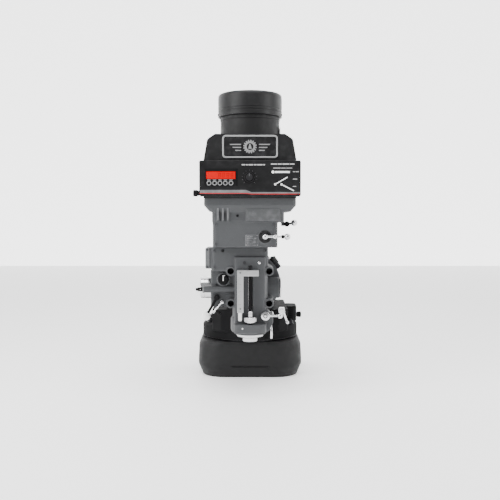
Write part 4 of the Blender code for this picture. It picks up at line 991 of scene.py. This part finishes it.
def make_panel_print(front, left, right, low, high, knob):
    """Printed lines, scale ticks and plain diagrams on the panel."""
    near, far = front - 0.0004, front + 0.0002

    def bar(x0, z0, x1, z1, width):
        along = Vector((x1 - x0, 0, z1 - z0)).normalized()
        side = Vector((-along.z, 0, along.x)) * (width / 2)
        outline = [(x0 + side.x, z0 + side.z), (x1 + side.x, z1 + side.z), (x1 - side.x, z1 - side.z),
                   (x0 - side.x, z0 - side.z)]
        return slab(outline, "Y", near, far)

    ticks = []
    for number in range(11):
        angle = math.radians(225 - number * 27)
        start, end = 0.0200, 0.0228 if number % 5 else 0.0240
        ticks.append(bar(knob.x + start * math.cos(angle), knob.z + start * math.sin(angle),
                         knob.x + end * math.cos(angle), knob.z + end * math.sin(angle), 0.0007))
    piece("speed_scale_ticks", ticks, "head", "grey_light")
    right_base = knob.x + 0.070
    white = [round_slab(right_base + 0.0065, right_base + 0.052, high - 0.0375, high - 0.0320, 0.0020, "Y",
                        near, far),
             lathe(disc(0.0042, -0.0002, 0.0004), (right_base + 0.001, front, high - 0.0348), FRONT, 32),
             bar(right_base + 0.0080, high - 0.0715, right_base + 0.0450, high - 0.0500, 0.0030),
             bar(right_base + 0.0270, high - 0.0720, right_base + 0.0640, high - 0.0930 + 0.0020, 0.0030),
             lathe(disc(0.0034, -0.0002, 0.0004), (right_base + 0.0080, front, high - 0.0715), FRONT, 28),
             lathe(disc(0.0034, -0.0002, 0.0004), (right_base + 0.0270, front, high - 0.0720), FRONT, 28)]
    piece("lever_diagrams", white, "head", "white")
    strokes = []
    rows = (                         # start, height, widths of the words
            (left + 0.128, high - 0.0130, (0.010, 0.006, 0.014, 0.008, 0.016, 0.005)),
            (knob.x + 0.0650, high - 0.0110, (0.018, 0.012, 0.020, 0.014)),
            (knob.x + 0.0720, high - 0.0230, (0.022, 0.014, 0.018)),
            (right - 0.0240, high - 0.0340, (0.007, 0.009)),
            (right - 0.0240, high - 0.0560, (0.013, 0.008)),
            (right - 0.0240, high - 0.0780, (0.010,)))
    for row, (x, z, widths) in enumerate(rows):
        for width in widths:
            tall = 0.0034 if row < 2 else 0.0018
            if x + width > right - 0.003:
                break
            strokes.append(block((x, near, z - tall / 2), (x + width, far, z + tall / 2)))
            x += width + (0.0022 if row < 2 else 0.0016)
    piece("panel_labels", strokes, "head", "pale")
    step = [(left + 0.002, low + 0.0195), (knob.x - 0.010, low + 0.0195), (knob.x + 0.006, low + 0.0130),
            (right - 0.002, low + 0.0130)]
    below = [(x, z - width) for (x, z), width in zip(step, (0.0090, 0.0090, 0.0042, 0.0042))]
    grey = step + below[::-1]
    piece("panel_stripe", slab(grey, "Y", near, far), "head", "grey_light", bevel=0.0001)
    line = [(x, z - width) for (x, z), width in zip(step, (0.0096, 0.0096, 0.0050, 0.0050))]
    red = line + [(x, z - 0.0016) for x, z in reversed(line)]
    piece("panel_red_line", slab(red, "Y", near, far), "head", "red")
    cap_screws("panel_screws", [(x, front, z) for x in (left + 0.008, right - 0.008)
                                for z in (low + 0.006, high - 0.012)], FRONT, 0.0024, 0.0014, "head", "bolt")


# Quill, spindle and feed --------------------------------------------------------------------
def make_quill():
    axis = (SPINDLE.x, SY, 0)
    outline = [(0.0243, NOSE.low), (0.0395, NOSE.low), (0.0422, NOSE.low + 0.0012),
               (0.0430, NOSE.low + 0.0030), (0.0430, NOSE.high - 0.0006), (0.0424, NOSE.high),
               (0.0243, NOSE.high)]
    piece("quill_nose", lathe(outline, axis, segments=96), "quill", "turned", ["quill_nose_cap"])
    notches = around("XY", (SPINDLE.x, SY, NOSE.low), 0.0335, turns(4, 20))
    piece("nose_cap_spanner_holes", [lathe([(0.0016, -0.0004), (0.0026, -0.0004), (0.0026, 0.0006),
                                            (0.0016, 0.0006)], place, UP, 24) for place in notches], "quill",
          "blackened")
    radius, nose, top = SPINDLE.wide / 2, SPINDLE.low, span("spindle_shaft").high
    profile = [(0.0158, nose), (radius - 0.0022, nose), (radius - 0.0006, nose + 0.0008),
               (radius, nose + 0.0024), (radius, nose + 0.0110), (radius - 0.0007, nose + 0.0117),
               (radius - 0.0007, nose + 0.0135), (radius, nose + 0.0142), (radius, 0.425), (0.0180, 0.428),
               (0.0180, top), (0.0065, top), (0.0065, 0.265), (0.0120, 0.262), (0.0152, nose + 0.0015)]
    piece("spindle_body", lathe(profile, axis, segments=96), "spindle", "turned",
          ["spindle", "spindle_shaft"])
    outer = [(SPINDLE.x + x, SY + y) for x, y in arc((0, 0), QUILL.wide / 2 + 0.0002, 261.0, 283.0, 12)]
    inner = [(SPINDLE.x + x, SY + y) for x, y in arc((0, 0), QUILL.wide / 2 - 0.0010, 283.0, 261.0, 12)]
    piece("quill_key_strip", slab(outer + inner, "Z", QUILL.low + 0.0060, QUILL.high - 0.0020), "quill",
          "bolt")
    stop = span("quill_stop_block")
    piece("quill_stop",
          round_slab(stop.left, stop.right, stop.low, stop.high, 0.0015, "Y", stop.front, stop.back - 0.0005),
          "quill", "blackened", bevel=0.0005)


def make_quill_feed():
    hub = span("pinion_hub_disc")
    start, end = hub.left - PINION.x, hub.right - PINION.x
    piece("pinion_disc",
          lathe([(0.0102, start), (0.0320, start), (0.0333, start + 0.0010), (0.0335, start + 0.0016),
                 (0.0335, end - 0.0018), (0.0318, end - 0.0005), (0.0300, end), (0.0180, end),
                 (0.0170, end - 0.0008), (0.0110, end - 0.0008), (0.0102, end)], PINION, RIGHT, 96), "pinion",
          "turned", ["pinion_hub_disc"])
    rim = around("YZ", (hub.right - 0.0006, PINION.y, PINION.z), 0.0245, turns(4, math.degrees(0.6)))
    piece("pinion_disc_holes",
          [lathe([(0.0022, -0.0002), (0.0034, -0.0002), (0.0034, 0.0005), (0.0022, 0.0005)], place, RIGHT, 24)
           for place in rim], "pinion", "blackened")
    cup = span("spring_cup")
    low, high = cup.left - PINION.x, cup.right - PINION.x
    profile = [(0, low), (0.0120, low), (0.0124, low + 0.0006), (0.0128, low), (0.0322, low),
               (0.0341, low + 0.0008), (0.0350, low + 0.0022), (0.0350, low + 0.0130), (0.0343, low + 0.0136),
               (0.0343, low + 0.0150), (0.0350, low + 0.0156), (0.0350, high), (0.0320, high),
               (0.0320, low + 0.0035), (0, low + 0.0035)]
    piece("spring_cup_shell", lathe(profile, PINION, RIGHT, 96), "head", "bright", ["spring_cup"])
    screws = around("YZ", (cup.left + 0.0002, PINION.y, PINION.z), 0.0240, turns(3, 40))
    cap_screws("spring_cup_screws", screws, -RIGHT, 0.0028, 0.0004, "head", "blackened")


def make_depth_stop():
    scale = span("depth_scale")
    front, back = scale.front, scale.back
    column = (scale.left, -0.0198)
    solids = [round_slab(*column, 0.2735, scale.high, 0.0012, "Y", front, back),
              round_slab(-0.0300, scale.right, 0.3870, scale.high, 0.0012, "Y", front, -0.4733),
              round_slab(0.0120, scale.right, 0.3870, scale.high, 0.0012, "Y", -0.490, back),
              slab([(-0.0370, scale.low + 0.004), (-0.0345, scale.low), (-0.0272, scale.low),
                    (-0.0247, scale.low + 0.004), (-0.0247, 0.2800), (-0.0370, 0.2800)], "Y", -0.488, back)]
    made = new_object("depth_scale_bar", solids)
    run_together(made, 0.0007, 3, 0.3)
    cut(made, lathe(disc(0.0053, 0.35, 0.45), (SCREW.x, SCREW.y, 0), UP, 32))
    smooth(made)
    join_body(made, "head", "satin")
    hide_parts("depth_scale")
    marks = []
    for number in range(26):
        z = 0.2790 + number * 0.0041
        length = 0.0110 if number % 5 == 0 else 0.0062
        marks.append(block((column[0] + 0.0012, front - 0.0001, z),
                           (column[0] + 0.0012 + length, front + 0.0004, z + 0.0005)))
    piece("depth_scale_marks", marks, "head", "plastic")
    cap_screws("depth_scale_screws", [(-0.0297, front, z) for z in (0.3980, 0.2860)], FRONT, 0.0026, 0.0012,
               "head", "bolt")
    piece("pointer_tip",
          round_slab(-0.0362, -0.0255, scale.low + 0.0025, scale.low + 0.0290, 0.0015, "Y", -0.4892, -0.4878),
          "head", "white", bevel=0.0003)

    screw = SCREW
    radius = 0.0050
    base, top = screw.low, 0.4060
    profile = [(0, base), (radius - 0.0010, base), (radius, base + 0.0010)]
    pitch = 0.0016
    z = base + 0.004
    while z < top - 0.004:
        profile += [(radius, z), (radius - 0.0007, z + pitch / 2)]
        z += pitch
    profile += [(radius, top), (0.0061, top + 0.0001), (0.0061, screw.high - 0.0008), (0.0055, screw.high),
                (0.0026, screw.high), (0.0024, screw.high - 0.0040), (0, screw.high - 0.0040)]
    piece("stop_screw_rod", lathe(profile, (screw.x, screw.y, 0), segments=40), "head", "flat",
          ["stop_screw"])
    nut, jam = span("stop_nut"), span("stop_lock_nut")
    body = lathe([(0.0053, nut.low), (0.0172, nut.low), (0.0182, nut.low + 0.0010),
                  (0.0184, nut.low + 0.0014), (0.0184, nut.high - 0.0016), (0.0176, nut.high - 0.0005),
                  (0.0165, nut.high), (0.0110, nut.high), (0.0100, nut.high - 0.0006),
                  (0.0053, nut.high - 0.0006)], (screw.x, screw.y, 0), segments=96)
    knurls = [lathe(disc(0.0006, -0.0055, 0.0055, 0.0002), place, UP, 8)
              for place in around("XY", (screw.x, screw.y, nut.z), 0.0183, turns(60))]
    piece("micrometer_nut", [body, *knurls], "stop_nuts", "turned", ["stop_nut"])
    ticks = []
    for number in range(25):
        angle = 2 * math.pi * number / 25
        shape = block((-0.0003, -0.0173, nut.high - 0.0004), (0.0003, -0.0140, nut.high + 0.0001))
        bmesh.ops.transform(shape,
                            matrix=Matrix.Translation((screw.x, screw.y, 0)) @ Matrix.Rotation(angle, 4, "Z"),
                            verts=shape.verts)
        ticks.append(shape)
    piece("micrometer_nut_ticks", ticks, "stop_nuts", "plastic")
    collar = lathe([(0.0053, jam.low), (0.0068, jam.low), (0.0073, jam.low + 0.0006),
                    (0.0073, jam.low + 0.0080), (0.0066, jam.low + 0.0085), (0.0066, jam.low + 0.0098),
                    (0.0073, jam.low + 0.0103), (0.0073, jam.high - 0.0006), (0.0068, jam.high),
                    (0.0053, jam.high)], (screw.x, screw.y, 0), segments=48)
    piece("micrometer_jam_nut", collar, "stop_nuts", "turned", ["stop_lock_nut"])


# Levers and dials ---------------------------------------------------------------------------
def taper(start, end, profile):
    """A turned arm along a line: profile gives (radius, distance from the start)."""
    return lathe(profile, start, Vector(end) - Vector(start), 36)


def make_levers():
    # Quill lock: turned hub with a short rod and a ball
    arm = LOCK.y - 0.0110
    hub = lathe([(0, 0.0200), (0.0115, 0.0200), (0.0128, 0.0196), (0.0138, 0.0182), (0.0138, 0.0012),
                 (0.0130, 0.0003), (0, 0.0003)], LOCK, FRONT, 72)
    shaft = lathe(disc(0.0050, -0.0240, 0.002), LOCK, FRONT, 32)
    neck = taper((LOCK.x + 0.005, arm, LOCK.z), (LOCK.x + 0.0454, arm, LOCK.z),
                 [(0, 0), (0.0035, 0), (0.0033, 0.020), (0.0036, 0.0325), (0, 0.0325)])
    tip = ball(0.0088, (LOCK.x + 0.0454, arm, LOCK.z), RIGHT)
    piece("quill_lock_handle", [hub, shaft, neck, tip], "quill_lock", "bright", ["quill_lock_lever"])
    piece("quill_lock_recess",
          lathe([(0.0040, 0.0196), (0.0066, 0.0196), (0.0066, 0.0202), (0.0040, 0.0202)], LOCK, FRONT, 48),
          "quill_lock", "blackened")

    # High and low range: ball hub, rod with a dark collar and a ball
    arm = RANGE.y - 0.0140
    place = (RANGE.x, arm, RANGE.z)
    hub = lathe([(0, 0.0190), (0.0060, 0.0190), (0.0074, 0.0184), (0.0080, 0.0172), (0.0080, 0.0040),
                 (0.0076, 0.0034), (0.0060, 0.0034), (0.0060, -0.0200), (0, -0.0200)], RANGE, FRONT, 56)
    shapes = [hub, ball(0.0095, place, RIGHT),
              taper(place, (RANGE.x + 0.068, arm, RANGE.z),
                    [(0, 0), (0.0040, 0.003), (0.0036, 0.020), (0.0031, 0.052), (0.0035, 0.066), (0, 0.068)]),
              ball(0.0072, (RANGE.x + 0.0294, arm, RANGE.z), RIGHT)]
    piece("range_handle", shapes, "range_selector", "bright", ["range_lever"])
    piece("range_handle_ball", ball(0.0097, (RANGE.x + 0.068, arm, RANGE.z), RIGHT), "range_selector",
          "bright")
    piece("range_handle_collar",
          taper((RANGE.x + 0.0500, arm, RANGE.z), (RANGE.x + 0.0600, arm, RANGE.z),
                [(0, 0), (0.0050, 0), (0.0056, 0.0008), (0.0056, 0.0072), (0.0050, 0.0080), (0, 0.0080)]),
          "range_selector", "plastic")
    plate = lathe([(0.0086, 0.0003), (0.0196, 0.0003), (0.0196, 0.0026), (0.0190, 0.0032), (0.0092, 0.0032),
                   (0.0086, 0.0026)], RANGE, FRONT, 96)
    piece("detent_plate", plate, "head", "cover")
    screws = around("XZ", (RANGE.x, RANGE.y - 0.0030, RANGE.z), 0.0143, turns(4, 52))
    cap_screws("detent_plate_screws", screws, FRONT, 0.0022, 0.0010, "head", "bolt")

    # Spindle brake: short black lever with a ball
    arm = BRAKE.y - 0.0080
    hub = lathe([(0, 0.0155), (0.0062, 0.0155), (0.0077, 0.0150), (0.0085, 0.0138), (0.0085, 0.0010),
                 (0.0078, 0.0003), (0.0040, 0.0003), (0.0040, -0.0070), (0, -0.0070)], BRAKE, FRONT, 48)
    start, end = Vector((BRAKE.x + 0.004, arm, BRAKE.z)), Vector((BRAKE.x + 0.0232, arm, BRAKE.z + 0.004))
    piece("brake_handle", [hub, rod(start, end, 0.0032)], "brake", "plastic", ["brake_lever"])
    piece("brake_handle_ball", ball(0.0100, end, end - start), "brake", "bright", slot="bright_steel")

    # Feed trip: black arm with a pale ball
    arm = TRIP.y - 0.0085
    hub = lathe([(0, 0.0150), (0.0068, 0.0150), (0.0082, 0.0146), (0.0090, 0.0134), (0.0090, 0.0010),
                 (0.0084, 0.0003), (0.0040, 0.0003), (0.0040, -0.0180), (0, -0.0180)], TRIP, FRONT, 48)
    start = Vector((TRIP.x - 0.002, arm, TRIP.z - 0.0035))
    end = Vector((TRIP.x - 0.0342, arm, TRIP.z - 0.0594))
    length = (end - start).length
    shaft = taper(start, end, [(0, 0), (0.0047, 0), (0.0043, 0.030), (0.0040, length - 0.016),
                               (0.0055, length - 0.0150), (0.0055, length - 0.0110), (0, length - 0.0110)])
    piece("trip_handle", [hub, shaft], "feed_trip", "plastic", ["feed_trip_lever"])
    piece("trip_handle_ball", ball(0.0135, end, start - end), "feed_trip", "ivory", slot="light_grey")

    # Feed engagement: bright bar with a small black knob
    arm = ENGAGE.y - 0.0050
    hub = lathe([(0, 0.0085), (0.0042, 0.0085), (0.0052, 0.0080), (0.0056, 0.0070), (0.0056, 0.0009),
                 (0.0050, 0.0003), (0.0040, 0.0003), (0.0040, -0.0180), (0, -0.0180)], ENGAGE, FRONT, 48)
    start = Vector((ENGAGE.x - 0.002, arm, ENGAGE.z - 0.0024))
    end = Vector((ENGAGE.x - 0.0300, arm, ENGAGE.z - 0.0350))
    length = (end - start).length
    bar = taper(start, end,
                [(0, 0), (0.0034, 0), (0.0031, 0.010), (0.0036, length - 0.002), (0.0030, length - 0.0004),
                 (0, length)])
    piece("engage_handle", [hub, bar], "feed_engage", "bright", ["feed_engage_lever"])
    knob = lathe([(0, 0), (0.0033, 0.001), (0.0033, 0.0100), (0.0052, 0.0108), (0.0062, 0.0124),
                  (0.0062, 0.0172), (0.0052, 0.0192), (0, 0.0200)],
                 (ENGAGE.x - 0.0215, arm, ENGAGE.z - 0.0250), (0.75, -0.25, -0.61), 40)
    piece("engage_knob", knob, "feed_engage", "plastic")


def make_feed_dial():
    face = [(0, 0.0150), (0.0130, 0.0150), (0.0150, 0.0146), (0.0166, 0.0132), (0.0170, 0.0120),
            (0.0170, 0.0042), (0.0164, 0.0036), (0.0060, 0.0036), (0.0060, -0.0200), (0, -0.0200)]
    piece("feed_dial", lathe(face, DIAL, FRONT, 72), "feed_selector", "plastic", ["feed_selector_dial"])
    plate = lathe([(0.0064, 0.0003), (0.0216, 0.0003), (0.0216, 0.0024), (0.0208, 0.0032), (0.0186, 0.0032),
                   (0.0180, 0.0029), (0.0064, 0.0029)], DIAL, FRONT, 96)
    piece("feed_dial_plate", plate, "head", "grey_light")
    y = DIAL.y - 0.0152
    arm = slab([(DIAL.x - 0.0015, DIAL.z - 0.004), (DIAL.x + 0.0015, DIAL.z - 0.004),
                (DIAL.x + 0.0012, DIAL.z + 0.0120), (DIAL.x - 0.0012, DIAL.z + 0.0120)], "Y", y - 0.0014,
               y + 0.0006)
    hook = slab([(DIAL.x - 0.0012, DIAL.z + 0.0100), (DIAL.x + 0.0024, DIAL.z + 0.0122),
                 (DIAL.x + 0.0054, DIAL.z + 0.0114), (DIAL.x + 0.0058, DIAL.z + 0.0130),
                 (DIAL.x + 0.0024, DIAL.z + 0.0144), (DIAL.x - 0.0012, DIAL.z + 0.0130)], "Y", y - 0.0014,
                y + 0.0006)
    piece("feed_dial_pointer", [arm, hook], "feed_selector", "white", bevel=0.0003)
    dots = [lathe(disc(0.0008, 0, 0.0004), place, FRONT, 20)
            for place in around("XZ", (DIAL.x, DIAL.y - 0.0031, DIAL.z), 0.0198, (30, 90, 150))]
    piece("feed_dial_dots", dots, "head", "plastic")
    screws = [(DIAL.x - 0.0220, DIAL.y, DIAL.z - 0.0170), (DIAL.x + 0.0240, DIAL.y, DIAL.z - 0.0160)]
    cap_screws("feed_box_screws", screws, FRONT, 0.0034, 0.0024, "head", "bolt")


def make_tilt_parts():
    start = WORM + WORM_AXIS * -0.0235
    profile = [(0, 0), (0.0042, 0), (0.0050, 0.0008), (0.0050, 0.0355), (0, 0.0355)]
    shank = lathe(profile, start, WORM_AXIS, 40)
    head = hexagon(0.0165, WORM, WORM_AXIS, 0.0066, 0.0230)
    piece("tilt_worm_screw", [shank, head], "tilt_adjuster", "bolt", ["tilt_worm"])
    piece("tilt_worm_bracket",
          lathe([(0.0053, -0.0200), (0.0112, -0.0200), (0.0120, -0.0192), (0.0120, 0.0052), (0.0112, 0.0060),
                 (0.0053, 0.0060)], WORM, WORM_AXIS, 48), "head", "cover")
    front = 0.4040
    shapes = [lathe(ring(0.0698, 0.0877, 0.2536, 0.2654), (TILT.x, 0, TILT.z), FRONT, 96)]
    for x, z in BOLTS:
        head = [(0, front), (0.0082, front), (0.0090, front - 0.0008), (0.0090, 0.3964), (0.0060, 0.3962),
                (0.0060, 0.2560), (0, 0.2560)]
        shapes.append(lathe(head, (x, 0, z), FRONT, 48))
    piece("tilt_bolts", shapes, "head", "bolt", ["head_tilt_bolts"])
    piece("tilt_bolt_heads",
          [hexagon(0.0145, (x, 0, z), FRONT, front - 0.0030, front + 0.0022) for x, z in BOLTS], "head",
          "bolt")


def make_fine_feed():
    shaft = span("fine_feed_shaft")
    reach = FINE.x - shaft.left
    profile = [(0, reach), (0.0038, reach), (0.0045, reach - 0.0008), (0.0045, reach - 0.0060),
               (0.0062, reach - 0.0062), (0.0065, reach - 0.0068), (0.0065, reach - 0.0210),
               (0.0058, reach - 0.0216), (0.0058, -0.0300), (0, -0.0300)]
    piece("fine_feed_rod", lathe(profile, FINE, -RIGHT, 40), "fine_feed", "plastic", ["fine_feed_shaft"])
    piece("fine_feed_pin",
          rod((shaft.left + 0.0150, FINE.y - 0.0085, FINE.z), (shaft.left + 0.0150, FINE.y + 0.0085, FINE.z),
              0.0014), "fine_feed", "turned")
    piece("fine_feed_bush",
          lathe([(0.0066, 0.0), (0.0108, 0.0), (0.0112, 0.0006), (0.0112, 0.0040), (0.0108, 0.0046),
                 (0.0066, 0.0046)], (FINE.x - 0.0500, FINE.y, FINE.z), RIGHT, 48), "head", "grey_light")
    piece("lower_barrel_dot",
          lathe(disc(0.0022, 0, 0.0012, 0.0003), (SPINDLE.x - 0.0230, SY - 0.1052, 0.2260), FRONT, 28),
          "head", "white")
    piece("quill_rim", lathe(ring(QUILL.wide / 2 + 0.0006, 0.0500, HOUSE.low - 0.0012, HOUSE.low + 0.0002),
                             (SPINDLE.x, SY, 0), segments=96), "head", "grey_light", bevel=0.0003)


# Camera, light and setting ------------------------------------------------------------------
def make_setting():
    floor = new_object("floor", block((-25, -12, -0.02), (25, 6, 0)))
    paper = Nodes("pale_paper")
    paper.colour(paper.mix(paper.noise(1.5, 2.0), (0.90, 0.90, 0.90), (0.93, 0.93, 0.93)))
    paper.rough(paper.noise(40.0), 0.55, 0.70)
    paper.shader.inputs["Emission Color"].default_value = (1.0, 1.0, 1.0, 1.0)
    paper.shader.inputs["Emission Strength"].default_value = FLOOR_GLOW
    floor.data.materials.append(paper.material)

    glow = bpy.data.materials.new("backdrop_glow")
    glow.use_nodes = True
    shader = glow.node_tree.nodes["Principled BSDF"]
    shader.inputs["Base Color"].default_value = (0.9, 0.9, 0.9, 1.0)
    shader.inputs["Emission Color"].default_value = (1.0, 1.0, 1.0, 1.0)
    shader.inputs["Emission Strength"].default_value = BACKDROP
    backdrop = new_object("backdrop", block((-25, 6.0, -0.5), (25, 6.1, 16)))
    backdrop.data.materials.append(glow)

    world = bpy.data.worlds.new("studio")
    world.use_nodes = True
    world.node_tree.nodes["Background"].inputs["Color"].default_value = (1.0, 1.0, 1.0, 1.0)
    world.node_tree.nodes["Background"].inputs["Strength"].default_value = WORLD
    bpy.context.scene.world = world

    for name, place, target, size, power in LIGHTS:
        light = bpy.data.lights.new(name, "AREA")
        light.shape = "RECTANGLE"
        light.size, light.size_y = size
        light.energy = power
        lamp = bpy.data.objects.new(name, light)
        lamp.location = place
        lamp.rotation_euler = (Vector(target) - Vector(place)).to_track_quat("-Z", "Y").to_euler()
        bpy.context.scene.collection.objects.link(lamp)

    camera = bpy.data.cameras.new("view")
    camera.lens = CAMERA_LENS
    eye = bpy.data.objects.new("view", camera)
    eye.location = CAMERA
    eye.rotation_euler = (math.radians(90 - CAMERA_PITCH), 0, 0)
    bpy.context.scene.collection.objects.link(eye)
    bpy.context.scene.camera = eye


def make_all():
    for node in frame["nodes"].values():
        finish = CAD_FINISH[SLOT_OF[node.name]]
        node.data.materials.clear()
        node.data.materials.append(MATERIALS[finish])
    for make in (make_column, make_turret, make_ram_handle, make_ram_clamp, make_ram, make_adapter,
                 make_quill_casting, make_gear_casting, make_head_details, make_data_plate, make_belt_cover,
                 make_nameplate, make_motor, make_panel, make_quill, make_quill_feed, make_depth_stop,
                 make_levers, make_feed_dial, make_tilt_parts, make_fine_feed, make_setting):
        make()


make_all()
